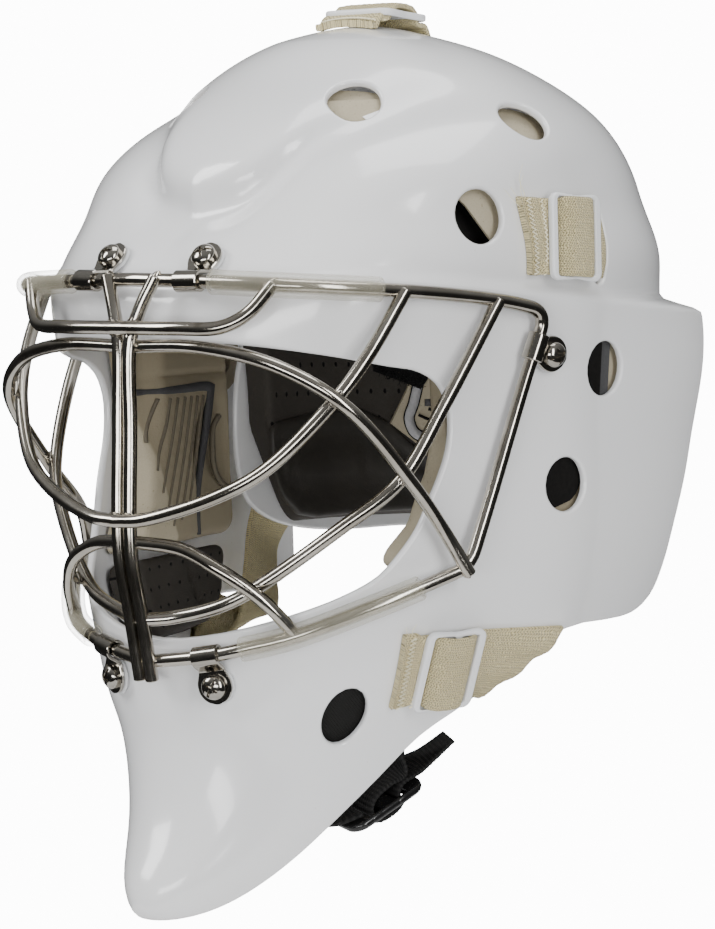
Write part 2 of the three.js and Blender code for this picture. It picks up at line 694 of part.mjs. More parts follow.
// Clear sleeve on the left half of a frame wire between two distances from the mirror plane,
// notched round a wire that is welded on inside that stretch.
function sleeve(frameCurve, fromX, toX, notchRows) {
  const reach = 400;
  const stretch = new THREE.BoxGeometry(toX - fromX, reach, reach).translate((fromX + toX) / 2, 0, 0);
  const pipe = toSolid(tube(frameCurve, SLEEVE_OUTER_RADIUS, SLEEVE_INNER_RADIUS));
  const cover = pipe.intersect(toSolid(stretch));
  const notch = toSolid(tube(new THREE.CatmullRomCurve3(toVectors(notchRows)), WIRE_RADIUS + 0.9));
  return toGeometry(cover.subtract(notch));
}

// ---- cage clamps -------------------------------------------------------------------------

// The frame wire that each clamp holds (left side), where its screw enters the shell (angle from the
// front, and z), and how far its washer stands off the curved wall.
const CLAMPS = [
  { name: 'top', wire: frameTopCurve, angle: 11.3, z: 45.6, lift: 0.4 },
  { name: 'side', wire: frameSideCurve, angle: 81.6, z: 12.6, lift: 1 },
  { name: 'bottom', wire: frameBottomCurve, angle: 12, z: -98.4, lift: 0.5 },
];

const PLATE_HEIGHT = WASHER_THICKNESS + SEAT_GAP + CLAMP_THICKNESS / 2;
const HEAD_BASE = PLATE_HEIGHT + CLAMP_THICKNESS / 2 + SEAT_GAP;

// Local frame of a clamp: x from the screw to the wire, z out of the shell.
function clampFrame(clamp) {
  const v = solve(formZ, clamp.z, 0, POLE);
  const normal = formNormal(v, clamp.angle);
  const point = formPoint(v, clamp.angle).addScaledVector(normal, clamp.lift);
  const candidates = clamp.wire.getPoints(600);
  const nearest = candidates.reduce((best, p) => (p.distanceTo(point) < best.distanceTo(point) ? p : best));
  const reach = nearest.clone().sub(point);
  const rise = reach.dot(normal);
  const along = reach.addScaledVector(normal, -rise);
  return { rise, run: along.length(), matrix: placement(point, normal, along.normalize()) };
}

// Strip bent from the plate under the screw round the wire, as a side profile.
function clampGeometry(clamp) {
  const { rise, run, matrix } = clampFrame(clamp);
  const bend = WIRE_RADIUS + CLAMP_SLACK + CLAMP_THICKNESS / 2;
  const start = new THREE.Vector2(SCREW_HEAD_RADIUS + CLAMP_THICKNESS, PLATE_HEIGHT);
  const centre = new THREE.Vector2(run, rise);
  const apart = centre.clone().sub(start);
  const lift = Math.atan2(apart.y, apart.x) + Math.asin(Math.min(1, bend / apart.length()));
  const path = [new THREE.Vector2(-5.6, PLATE_HEIGHT), start];
  const firstAngle = lift + Math.PI / 2;
  const wrap = THREE.MathUtils.degToRad(215);
  const bends = 4;
  for (let i = 0; i <= bends; i++) {
    const angle = firstAngle - wrap * i / bends;
    path.push(new THREE.Vector2(run + bend * Math.cos(angle), rise + bend * Math.sin(angle)));
  }
  const outline = thickened(path, CLAMP_THICKNESS);
  const strip = new THREE.ExtrudeGeometry(outline, { depth: CLAMP_WIDTH, bevelEnabled: false });
  strip.rotateX(Math.PI / 2).translate(0, CLAMP_WIDTH / 2, 0);
  const hole = toSolid(drill(SCREW_HOLE_RADIUS, ROUND_SIDES));
  return toGeometry(toSolid(strip).subtract(hole)).applyMatrix4(matrix);
}

// Closed shape of a given thickness round a bent line.
function thickened(path, thickness) {
  const sides = [[], []];
  path.forEach((p, i) => {
    const before = path[Math.max(0, i - 1)];
    const after = path[Math.min(path.length - 1, i + 1)];
    const turn = after.clone().sub(before).normalize();
    const offset = new THREE.Vector2(-turn.y, turn.x).multiplyScalar(thickness / 2);
    sides[0].push(p.clone().add(offset));
    sides[1].unshift(p.clone().sub(offset));
  });
  return new THREE.Shape([...sides[0], ...sides[1]]);
}

function turned(profile, matrix) {
  const points = profile.map(([r, h]) => new THREE.Vector2(r, h));
  return new THREE.LatheGeometry(points, ROUND_SIDES).rotateX(Math.PI / 2).applyMatrix4(matrix);
}

function screwGeometry(clamp) {
  const tip = -SHELL_WALL - clamp.lift;
  return turned([
    [0, tip], [SCREW_SHANK_RADIUS, tip], [SCREW_SHANK_RADIUS, HEAD_BASE], [SCREW_HEAD_RADIUS, HEAD_BASE],
    [3.8, HEAD_BASE + 2.2], [0, HEAD_BASE + 3.1],
  ], clampFrame(clamp).matrix);
}

function washerGeometry(clamp) {
  const top = WASHER_THICKNESS;
  return turned([
    [SCREW_HOLE_RADIUS, 0], [WASHER_RADIUS, 0], [WASHER_RADIUS, top], [SCREW_HOLE_RADIUS, top],
    [SCREW_HOLE_RADIUS, 0],
  ], clampFrame(clamp).matrix);
}

function screwHole(clamp, side) {
  const hole = drill(SCREW_HOLE_RADIUS, ROUND_SIDES).applyMatrix4(clampFrame(clamp).matrix);
  return toSolid(side > 0 ? hole : mirrorImage(hole));
}

// ---- lining, back plate and chin strap ---------------------------------------------------

// Closed slab between two grids of points.
function slab(outer, inner) {
  const rows = outer.length;
  const cols = outer[0].length;
  const positions = [];
  for (const grid of [outer, inner]) grid.flat().forEach((p) => positions.push(p.x, p.y, p.z));
  const at = (layer, r, c) => layer * rows * cols + r * cols + c;
  const triangles = [];
  const quad = (a, b, c, d) => triangles.push(a, b, c, a, c, d);
  for (let r = 0; r < rows - 1; r++) {
    for (let c = 0; c < cols - 1; c++) {
      quad(at(0, r, c), at(0, r, c + 1), at(0, r + 1, c + 1), at(0, r + 1, c));
      quad(at(1, r, c), at(1, r + 1, c), at(1, r + 1, c + 1), at(1, r, c + 1));
    }
    quad(at(0, r, 0), at(0, r + 1, 0), at(1, r + 1, 0), at(1, r, 0));
    quad(at(0, r + 1, cols - 1), at(0, r, cols - 1), at(1, r, cols - 1), at(1, r + 1, cols - 1));
  }
  for (let c = 0; c < cols - 1; c++) {
    quad(at(0, 0, c + 1), at(0, 0, c), at(1, 0, c), at(1, 0, c + 1));
    quad(at(0, rows - 1, c), at(0, rows - 1, c + 1), at(1, rows - 1, c + 1), at(1, rows - 1, c));
  }
  const geometry = new THREE.BufferGeometry();
  geometry.setAttribute('position', new THREE.Float32BufferAttribute(positions, 3));
  geometry.setIndex(triangles);
  return facingOut(geometry);
}

// Foam pads: rows of form parameter and the angles from the front between which the pad lies there,
// the depth of its outer face below the shell's, and its thickness.
const LINING_INSET = SHELL_WALL + 0.5;
const PLATE_LINING_INSET = PLATE_INSET + PLATE_WALL + 1.3;
const PADS = {
  forehead_pad: {
    rows: [[9.55, -54, 54], [10, -54, 54], [10.6, -54, 54], [11.3, -54, 54]],
    cells: 9, inset: LINING_INSET, thick: 9,
  },
  crown_pad: {
    rows: [[12, -54, 54], [12.8, -54, 54], [13.6, -54, 54]],
    cells: 9, inset: LINING_INSET, thick: 9,
  },
  temple_pad: {
    rows: [[6.92, 43, 96], [7.3, 52, 96], [7.75, 56, 96], [9.2, 56, 96]],
    cells: 4, inset: LINING_INSET + 1.3, thick: 16,
  },
  jaw_pad: {
    rows: [[6.08, 46, 77], [6.38, 44, 87], [6.82, 42, 94]],
    cells: 3, inset: LINING_INSET + 1.6, thick: 13,
  },
  chin_pad: { rows: [[5, -42, 42], [5.9, -42, 42]], cells: 6, inset: LINING_INSET + 1.3, thick: 10 },
  back_pad: {
    rows: [[7, 114, 246], [8, 102, 258], [9, 102, 258], [10, 102, 258], [11, 102, 258], [12, 102, 258]],
    cells: 13, inset: PLATE_LINING_INSET, thick: 11, flared: false,
  },
};

function pad(name) {
  const { rows, cells, inset, thick, flared } = PADS[name];
  const columns = [...Array(cells + 1).keys()].map((i) => i / cells);
  const sheet = (depth) => rows.map(([v, from, to]) => columns.map((t) => {
    const a = from + t * (to - from);
    return formPoint(v, a, flared).addScaledVector(formNormal(v, a, flared), -depth);
  }));
  return slab(sheet(inset), sheet(inset + thick));
}

// Side-view outline of the back plate.
const PLATE_OUTLINE = [
  [16.5, -36], [15.2, -22], [16, -4], [21, 12], [28, 30], [32, 55], [34, 80], [37, 102], [42, 130],
  [160, 130], [160, -64], [72, -65], [50, -63], [32, -57.5], [21, -49],
];

function backPlate() {
  const outer = formBody(PLATE_INSET, 0, false);
  const inner = formBody(PLATE_INSET + PLATE_WALL, 20, false);
  return toGeometry(outer.subtract(inner).intersect(sidePrism(PLATE_OUTLINE)));
}

// Chin buckle: a plate under the left jaw. In its frame l runs rearwards along the webbing and n
// points up out of the plate.
const CHIN_BUCKLE = {
  centre: vec(38.5, -42, -146), along: vec(0.314, 0.836, 0.449), up: vec(-0.035, -0.462, 0.886),
  length: 33, width: 22, thickness: 3.2, slot: 4.4, slotAt: 6,
};
const WEBBING_WIDTH = 17;
const WEBBING_THICKNESS = 1.6;

function atChinBuckle(l, n) {
  const { centre, along, up } = CHIN_BUCKLE;
  return centre.clone().addScaledVector(along, l).addScaledVector(up, n);
}

const BUCKLE_SIDE = new THREE.Vector3().crossVectors(CHIN_BUCKLE.along, CHIN_BUCKLE.up).normalize();

// Station of the webbing inside the jaw's wall: its middle and the direction of its width, which runs
// along the slanting edge.
function insideJaw(side, y, z, clearance) {
  const { point, normal, rearward, upward } = shellFrame(y, z, side);
  const width = upward.multiplyScalar(0.57).addScaledVector(rearward, -0.82);
  return [point.addScaledVector(normal, -(SHELL_WALL + clearance + WEBBING_THICKNESS / 2)), width];
}

// The sling, from its end on the buckle's front bar under the chin up to the right jaw: points and
// the direction of the webbing's width.
const SLING = [
  [atChinBuckle(-10, 2.8), BUCKLE_SIDE],
  [atChinBuckle(-17, 4.4), BUCKLE_SIDE],
  [vec(22, -61, -150), vec(0.6, -0.8, 0)],
  [vec(2, -64, -152), vec(0, -1, 0)],
  [vec(-20, -60, -151), vec(-0.5, -0.85, 0)],
  [vec(-38, -49, -144), vec(-0.6, -0.8, 0.2)],
  insideJaw(-1, -42, -122, 4),
  insideJaw(-1, -40, -105, 2 * SEAT_GAP),
];

// The webbing from the left jaw down to the buckle, through both slots and out as the free tail.
const TAIL_WEBBING = [
  insideJaw(1, -40, -105, 2 * SEAT_GAP),
  insideJaw(1, -40, -122, 3),
  [atChinBuckle(14, 8.5), BUCKLE_SIDE],
  [atChinBuckle(4, 6.6), BUCKLE_SIDE],
  [atChinBuckle(-3, 5.4), BUCKLE_SIDE],
  [atChinBuckle(-6, 2.4), BUCKLE_SIDE],
  [atChinBuckle(-6, -2.2), BUCKLE_SIDE],
  [atChinBuckle(-3.4, -3.6), BUCKLE_SIDE],
  [atChinBuckle(3.4, -3.6), BUCKLE_SIDE],
  [atChinBuckle(6, -2.2), BUCKLE_SIDE],
  [atChinBuckle(6, 1.6), BUCKLE_SIDE],
  [atChinBuckle(8.6, 3.9), BUCKLE_SIDE],
  [atChinBuckle(18, 3.8), BUCKLE_SIDE],
  [vec(47.2, -24.6, -131.8), vec(0.81, -0.56, -0.12)],
  [vec(53.2, -17.7, -124.8), vec(0.74, -0.66, -0.05)],
];

// Webbing through stations of a point and the direction of its width.
function webbing(stations) {
  const points = stations.map(([p]) => p);
  const last = points.length - 1;
  const sheet = (offset) => stations.map(([p, side], i) => {
    const along = points[Math.min(last, i + 1)].clone().sub(points[Math.max(0, i - 1)]);
    const normal = new THREE.Vector3().crossVectors(along, side).normalize();
    const wide = new THREE.Vector3().crossVectors(normal, along).normalize();
    const middle = p.clone().addScaledVector(normal, offset);
    return [-0.5, 0.5].map((w) => middle.clone().addScaledVector(wide, w * WEBBING_WIDTH));
  });
  return slab(sheet(WEBBING_THICKNESS / 2), sheet(-WEBBING_THICKNESS / 2));
}

function chinBuckle() {
  const { centre, along, up, length, width, thickness, slot, slotAt } = CHIN_BUCKLE;
  const outline = roundedRectangle(length, width, 4, 2);
  const plate = slottedPlate(outline, thickness, slot, WEBBING_WIDTH + 1, slotAt);
  return plate.translate(0, 0, -thickness / 2).applyMatrix4(placement(centre, up, along));
}

// ---- assembly ----------------------------------------------------------------------------

function slotCutter(line, slot) {
  const box = new THREE.BoxGeometry(SLOT_WIDTH, SLOT_LENGTH, 24);
  const along = line.at(slot + 2, 0, 0).sub(line.at(slot - 2, 0, 0));
  const normal = line.at(slot, 0, 1).sub(line.at(slot, 0, 0));
  return toSolid(box.applyMatrix4(placement(line.at(slot, 0, 0), normal, along)));
}

// The shell with its openings. grow thickens the wall by that much on both faces.
function shellSolid(grow = 0) {
  let shell = formBody(-grow, 0).subtract(formBody(SHELL_WALL + grow, 30)).intersect(sidePrism(SHELL_REAR));
  shell = shell.subtract(openingCutter());
  for (const side of [-1, 1]) {
    for (const vent of VENTS) shell = shell.subtract(ventCutter(vent, side));
    for (const clamp of CLAMPS) shell = shell.subtract(screwHole(clamp, side));
    const slot = slotCutter(upperLine, UPPER_RUN.slot);
    shell = shell.subtract(side > 0 ? slot : slot.mirror([1, 0, 0]));
  }
  return shell.subtract(slotCutter(topLine, TOP_RUN.slot));
}

addPiece('shell', toGeometry(shellSolid()), WHITE_SHELL);
addPiece('back_plate', backPlate(), WHITE_SHELL);
addPiece('cage', toGeometry(cageSolid()), STEEL);
addPair('cage_sleeve_top', sleeve(frameTopCurve, 32, 80, VISOR), CLEAR_VINYL);
addPair('cage_sleeve_bottom', sleeve(frameBottomCurve, 34, 80, LOWER_ARCH), CLEAR_VINYL);
for (const clamp of CLAMPS) {
  addPair(`cage_clamp_${clamp.name}`, clampGeometry(clamp), STEEL);
  addPair(`clamp_screw_${clamp.name}`, screwGeometry(clamp), STEEL);
  addPair(`clamp_washer_${clamp.name}`, washerGeometry(clamp), NYLON);
}

// Trims a strap or the webbing where the shell's facets come closer than the seat gap.
const shellAndGap = shellSolid(SEAT_GAP);
const clearOfShell = (geometry) => {
  const parts = toSolid(geometry).subtract(shellAndGap).decompose();
  return toGeometry(parts.reduce((best, part) => (part.volume() > best.volume() ? part : best)));
};

for (const [name, strap] of [['strap_upper', upperStrap()], ['strap_lower', lowerStrap()]]) {
  addPiece(`${name}_left`, clearOfShell(strap), ELASTIC);
  addPiece(`${name}_right`, clearOfShell(mirrorImage(strap)), ELASTIC);
}
addPiece('strap_top', clearOfShell(topStrap()), ELASTIC);

function placedBuckle(line) {
  const base = line.overSeat(0, 0, RAIL_BASE);
  return buckle().applyMatrix4(placement(base, line.normal, line.along));
}

addPair('buckle_upper', placedBuckle(upperLine), WHITE_PLASTIC);
addPair('buckle_lower', placedBuckle(lowerLine), WHITE_PLASTIC);
addPiece('buckle_top', placedBuckle(topLine), WHITE_PLASTIC);

addPiece('forehead_pad', pad('forehead_pad'), BEIGE_FOAM);
addPiece('crown_pad', pad('crown_pad'), BEIGE_FOAM);
addPair('temple_pad', pad('temple_pad'), BEIGE_FOAM);
addPair('jaw_pad', pad('jaw_pad'), BLACK_FOAM);
addPiece('chin_pad', pad('chin_pad'), BLACK_FOAM);
addPiece('back_pad', pad('back_pad'), BLACK_FOAM);
addPiece('chin_strap', clearOfShell(webbing(SLING)), BLACK_WEBBING);
addPiece('chin_strap_tail', clearOfShell(webbing(TAIL_WEBBING)), BLACK_WEBBING);
addPiece('chin_buckle', chinBuckle(), BLACK_PLASTIC);

export default mask;
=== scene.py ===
import math

import bpy
import numpy as np
from mathutils import Matrix, Vector


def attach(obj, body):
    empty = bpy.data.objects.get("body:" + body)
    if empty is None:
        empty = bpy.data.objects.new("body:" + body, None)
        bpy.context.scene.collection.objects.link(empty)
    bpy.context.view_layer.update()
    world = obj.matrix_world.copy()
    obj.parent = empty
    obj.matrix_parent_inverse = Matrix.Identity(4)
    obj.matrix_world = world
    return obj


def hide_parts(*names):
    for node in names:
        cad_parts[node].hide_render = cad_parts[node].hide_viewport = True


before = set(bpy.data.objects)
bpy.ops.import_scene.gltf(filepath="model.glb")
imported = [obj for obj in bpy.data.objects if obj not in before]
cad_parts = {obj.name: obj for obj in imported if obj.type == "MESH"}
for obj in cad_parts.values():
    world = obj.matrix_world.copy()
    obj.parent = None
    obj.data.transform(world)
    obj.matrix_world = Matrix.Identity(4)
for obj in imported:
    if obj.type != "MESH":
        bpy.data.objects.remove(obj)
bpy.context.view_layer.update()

# ---- camera ----------------------------------------------------------------------------------
# A long lens a little above eye level, on the wearer's left of the face, rolled by half a degree.
camera = bpy.data.objects.new("camera", bpy.data.cameras.new("camera"))
bpy.context.scene.collection.objects.link(camera)
bpy.context.scene.camera = camera
SENSOR_MM, IMAGE_WIDTH, FOCAL_LENGTH = 36, 715, 3336.6
camera.data.sensor_fit = "HORIZONTAL"
camera.data.sensor_width = SENSOR_MM
camera.data.lens = SENSOR_MM * FOCAL_LENGTH / IMAGE_WIDTH
camera.data.clip_start, camera.data.clip_end = 0.05, 40


def aim_camera(azimuth, elevation, roll, offset, distance):
    a, e = math.radians(azimuth), math.radians(elevation)
    back = Vector((math.sin(a) * math.cos(e), -math.cos(a) * math.cos(e), math.sin(e)))
    right = Vector((math.cos(a), math.sin(a), 0))
    up = back.cross(right)
    turn = Matrix.Rotation(math.radians(roll), 3, back)
    right, up = turn @ right, turn @ up
    at = back * distance - right * offset[0] - up * offset[1]
    axes = Matrix((right, up, back)).transposed().to_4x4()
    camera.matrix_world = Matrix.Translation(at) @ axes


aim_camera(39.07, 4.18, -0.574, (0.001187, 0.03052), 1.2294)

# ---- shell -----------------------------------------------------------------------------------
# One moulded wall 3 mm thick, white and glossy, closed over the crown and open at the face, the
# neck and the rear. Ledges and creases are pressed into it, and its edges are rounded over.
MM = 0.001
SHELL_WALL = 3.0
CROWN_Z = 130.3

# Level sections from the chin to the crown: z, y at the front, y at the rear, half width, squareness.
SECTIONS = np.array([
    [-181.5, -117, 64, 18, 2.3], [-178, -122, 67, 25, 2.3], [-168, -122.5, 73, 33, 2.3],
    [-155, -116, 81, 42, 2.3], [-140, -110, 90, 51, 2.3], [-120, -107, 100, 61.5, 2.35],
    [-100, -110, 109, 71.5, 2.35], [-60, -111, 119, 82, 2.42], [-20, -114, 122, 84, 2.58],
    [15, -117, 118, 85, 2.6], [40, -113, 109, 91, 2.55], [60, -95, 105, 93, 2.45],
    [78, -83, 99, 90, 2.35], [95, -66, 87.5, 81, 2.2], [109, -46, 71, 63, 2.1],
    [120, -30, 51, 42, 2.0], [127, -14, 27, 20, 2.0],
])
POLE = len(SECTIONS)
# The crease beside the raised crown panel and the soft ridge below it: angle from the front, height.
CREASE = np.array([[0, 62], [12, 68], [19, 77], [28, 88], [53, 101], [73, 106], [90, 109], [180, 114]])
SHOULDER = np.array([[0, 52], [25, 60], [47, 72], [62, 76], [80, 84], [120, 90], [180, 92]])


def smooth(t):
    u = np.clip(t, 0, 1)
    return u * u * u * (u * (6 * u - 15) + 10)


def natural_spline(values):
    n = len(values)
    rows = np.eye(n)
    load = np.zeros(n)
    for i in range(1, n - 1):
        rows[i, i - 1:i + 2] = 1, 4, 1
        load[i] = 6 * (values[i + 1] - 2 * values[i] + values[i - 1])
    bend = np.linalg.solve(rows, load)

    def at(t):
        i = np.clip(np.floor(t).astype(int), 0, n - 2)
        b = t - i
        a = 1 - b
        curve = ((a**3 - a) * bend[i] + (b**3 - b) * bend[i + 1]) / 6
        return a * values[i] + b * values[i + 1] + curve

    return at


def height_over(rows):
    count = np.arange(len(rows))
    low, high = np.maximum(count - 1, 0), np.minimum(count + 1, len(rows) - 1)
    slopes = (rows[high, 1] - rows[low, 1]) / (rows[high, 0] - rows[low, 0])

    def at(angle):
        i = np.clip(np.searchsorted(rows[:, 0], angle, side="left") - 1, 0, len(rows) - 2)
        step = rows[i + 1, 0] - rows[i, 0]
        t = np.clip((angle - rows[i, 0]) / step, 0, 1)
        start = (2 * t**3 - 3 * t**2 + 1) * rows[i, 1] + (t**3 - 2 * t**2 + t) * step * slopes[i]
        return start + (3 * t**2 - 2 * t**3) * rows[i + 1, 1] + (t**3 - t**2) * step * slopes[i + 1]

    return at


def over_crown(values, at_pole, sign):
    return natural_spline(np.concatenate([values, [at_pole], sign * values[:-4:-1]]))


middle, reach = (SECTIONS[:, 1] + SECTIONS[:, 2]) / 2, (SECTIONS[:, 2] - SECTIONS[:, 1]) / 2
form_z = over_crown(SECTIONS[:, 0], CROWN_Z, 1)
form_mid = over_crown(middle, middle[-1], 1)
form_reach = over_crown(reach, 0, -1)
form_half = over_crown(SECTIONS[:, 3], 0, -1)
form_power = over_crown(SECTIONS[:, 4], SECTIONS[-1, 4], 1)
crease_height, shoulder_height = height_over(CREASE), height_over(SHOULDER)


def relief(x, y, z):
    """Height of the moulded features above the plain sections: ear flares, ledge, crown panel."""
    angle = np.degrees(np.arctan2(x, -y))
    below_ledge = smooth((41 - 0.085 * (y + 40) - z) / 8)
    cheek = 2.4 * smooth((x - 30) / 50) * smooth((z + 120) / 60)
    wing = 9 * np.maximum(0, (y - 15) / 65) ** 1.3 * (1 + 0.5 * smooth((z + 30) / 50))
    ear = (9 * smooth((y + 50) / 66) + wing) * smooth((z + 150) / 70)
    cove = 6.5 * smooth((y + 50) / 80) * smooth((72 - z) / 34) * (1 - below_ledge)
    above = z - crease_height(angle)
    panel = 5.2 * smooth((above + 9) / 18) - 5.7 * np.exp(-((above / 9) ** 2))
    ridge = 2.6 * np.exp(-(((z - shoulder_height(angle)) / 13) ** 2))
    ridge_span = smooth((angle - 15) / 20) * (1 - smooth((angle - 80) / 40))
    return cove + (cheek + ear) * below_ledge + panel * (1 - smooth((angle - 50) / 50)) + ridge * ridge_span


def form_point(v, a, flared=True):
    """Points of the outer face at row v and angle a in degrees (0 front, 90 left ear, 180 rear)."""
    v, a = np.broadcast_arrays(np.minimum(v, POLE - 1e-4), a)
    side, ahead = np.sin(np.radians(a)), np.cos(np.radians(a))
    z, half, long, power = form_z(v), form_half(v), form_reach(v), form_power(v)
    radius = (np.abs(side / half) ** power + np.abs(ahead / long) ** power) ** (-1 / power)
    x, y = radius * side, -radius * ahead
    out_x = np.sign(side) * np.abs(x / half) ** (power - 1) / half
    out_y = np.sign(y) * np.abs(y / long) ** (power - 1) / long
    size = np.maximum(np.hypot(out_x, out_y), 1e-12)
    push = relief(np.abs(x), form_mid(v) + y, z) * np.minimum(1, radius / 30) if flared else 0
    return np.stack([x + push * out_x / size, form_mid(v) + y + push * out_y / size, z], -1)


def unit(vectors):
    return vectors / np.maximum(np.linalg.norm(vectors, axis=-1, keepdims=True), 1e-12)


def form_normal(v, a, flared=True):
    v = np.minimum(v, POLE - 0.021)
    up = form_point(v + 0.02, a, flared) - form_point(np.maximum(0, v - 0.02), a, flared)
    around = form_point(v, a + 0.4, flared) - form_point(v, a - 0.4, flared)
    return unit(np.cross(around, up))


def solve(rising, target, low, high):
    """Where a rising function reaches the target, by halving."""
    low, high = np.full(np.shape(target), float(low)), np.full(np.shape(target), float(high))
    for _ in range(34):
        centre = (low + high) / 2
        below = rising(centre) < target
        low, high = np.where(below, centre, low), np.where(below, high, centre)
    return (low + high) / 2


def shell_frame(y, z, flared=True):
    """Point, normal, rearward and upward directions of the left wall at side-view position y, z."""
    y, z = np.broadcast_arrays(np.asarray(y, float), np.asarray(z, float))
    v = solve(form_z, z, 0, POLE)
    a = solve(lambda t: form_point(v, t, flared)[..., 1], y, 0, 180)
    normal = form_normal(v, a, flared)
    rearward = unit(np.array([0, 1, 0]) - normal * normal[..., 1:2])
    upward = np.cross(normal, rearward)
    return form_point(v, a, flared), normal, rearward, upward * np.sign(upward[..., 2:3])


def through(points, steps):
    """Smooth curve through points, with that many steps between each two."""
    p = np.asarray(points, float)
    p = np.concatenate([[2 * p[0] - p[1]], p, [2 * p[-1] - p[-2]]])
    made = []
    for p0, p1, p2, p3 in zip(p, p[1:], p[2:], p[3:]):
        d0, d1, d2 = (max(np.sum((q - r) ** 2) ** 0.25, 1e-4) for q, r in ((p1, p0), (p2, p1), (p3, p2)))
        m1 = d1 * ((p1 - p0) / d0 - (p2 - p0) / (d0 + d1) + (p2 - p1) / d1)
        m2 = d1 * ((p2 - p1) / d1 - (p3 - p1) / (d1 + d2) + (p3 - p2) / d2)
        for t in np.arange(steps) / steps:
            made.append(p1 + m1 * t + (3 * (p2 - p1) - 2 * m1 - m2) * t**2 + (2 * (p1 - p2) + m1 + m2) * t**3)
    return np.array([*made, p[-2]])


def outline_distance(u, w, outline):
    """Signed distance to a closed outline, positive inside it."""
    a, b = outline, np.roll(outline, -1, 0)
    best, inside = np.full(u.shape, 1e9), np.zeros(u.shape, bool)
    for (ua, wa), (ub, wb) in zip(a, b):
        du, dw = ub - ua, wb - wa
        t = np.clip(((u - ua) * du + (w - wa) * dw) / max(du * du + dw * dw, 1e-12), 0, 1)
        best = np.minimum(best, (u - ua - t * du) ** 2 + (w - wa - t * dw) ** 2)
        if wa != wb:
            inside ^= ((wa > w) != (wb > w)) & (u < du * (w - wa) / dw + ua)
    return np.where(inside, 1, -1) * np.sqrt(best)


# Side-view outline (y, z) of what the shell covers: rear of the dome, ear wing, jaw and chin.
REAR = through([
    [38, 150], [40, 132], [47, 118], [58, 105], [66, 92], [70, 80], [72, 66], [73, 50], [74.5, 40], [78, 31],
    [83, 23], [85, 14], [83.5, -6], [76.3, -30.4], [68.6, -52], [65, -68.5], [61.6, -78.4], [54, -84],
    [43, -86], [8, -87], [-8, -95], [-25, -111], [-41, -122], [-53, -135.5], [-65, -148.5], [-77, -161],
    [-89, -170.5], [-102, -177.5], [-116, -181.2], [-150, -181.3]], 3)
REAR = np.concatenate([REAR, [[-150, 150]]])
# Left half of the face opening: angle from the front, height.
OPENING = [
    [0, 19.5], [18, 18], [32, 14.5], [44, 10], [50, 8], [54.5, 3.5], [57, -4], [57.5, -12], [56.8, -20],
    [55, -28], [52.5, -37], [50, -46], [46, -55], [42, -62], [35.5, -68], [27.5, -73.3], [13, -80.5],
    [0, -83.5]]
FACE = through([*OPENING, *([-a, z] for a, z in OPENING[-2:0:-1]), OPENING[0]], 3)[:-1]
MM_PER_DEGREE = 1.83
VENTS = [(-50.5, 101.7, 1, 1), (-8.3, 94.3, 1, 1), (-42, 60.3, 1, 1), (19.5, 6, 1, 1), (-1.7, -33.9, 1, 1),
         (-75.5, -111, 0.86, 1.12)]
VENT_RADIUS = 9.6
UPPER_RUN = {"y": -3.2, "z": 52.4, "lean": 3, "tail": 21.3, "slant": 0.2, "slot": 20.3}
LOWER_RUN = {"y": -43.6, "z": -95, "lean": 0, "tail": 19, "slant": 0.1}
TOP_RUN = {"y": 10.6, "tail": 18, "slant": 0, "slot": 17}
SLOT_SIZE = (4.5, 29)


def run_frame(run, s, w, flared=True):
    lean = math.radians(run["lean"])
    y = run["y"] + s * math.cos(lean) + w * math.sin(lean)
    z = run["z"] - s * math.sin(lean) + w * math.cos(lean)
    return shell_frame(y, z, flared)[:2]


def crown_frame(x, y, flared=True):
    """Point and normal on the crown under x, y."""
    x, y = np.broadcast_arrays(np.asarray(x, float), np.asarray(y, float))

    def angle(v):
        return np.degrees(np.arctan2(x, form_mid(v) - y))

    def shortfall(v):
        p = form_point(v, angle(v), flared)
        return np.hypot(x, y - form_mid(v)) - np.hypot(p[..., 0], p[..., 1] - form_mid(v))

    v = solve(shortfall, np.zeros(x.shape), POLE - 7, POLE - 0.001)
    return form_point(v, angle(v), flared), form_normal(v, angle(v), flared)


def slot_place(point_at, slot):
    """Centre, direction along the run and direction across it of a strap slot."""
    centre, normal = point_at(slot, 0)
    along = unit(point_at(slot + 2, 0)[0] - point_at(slot - 2, 0)[0])
    return centre, along, np.cross(normal, along)


upper_slot = slot_place(lambda s, w: run_frame(UPPER_RUN, s, w), UPPER_RUN["slot"])
top_slot = slot_place(lambda s, w: crown_frame(-w, TOP_RUN["y"] + s), TOP_RUN["slot"])
MIRROR = np.array([-1, 1, 1])


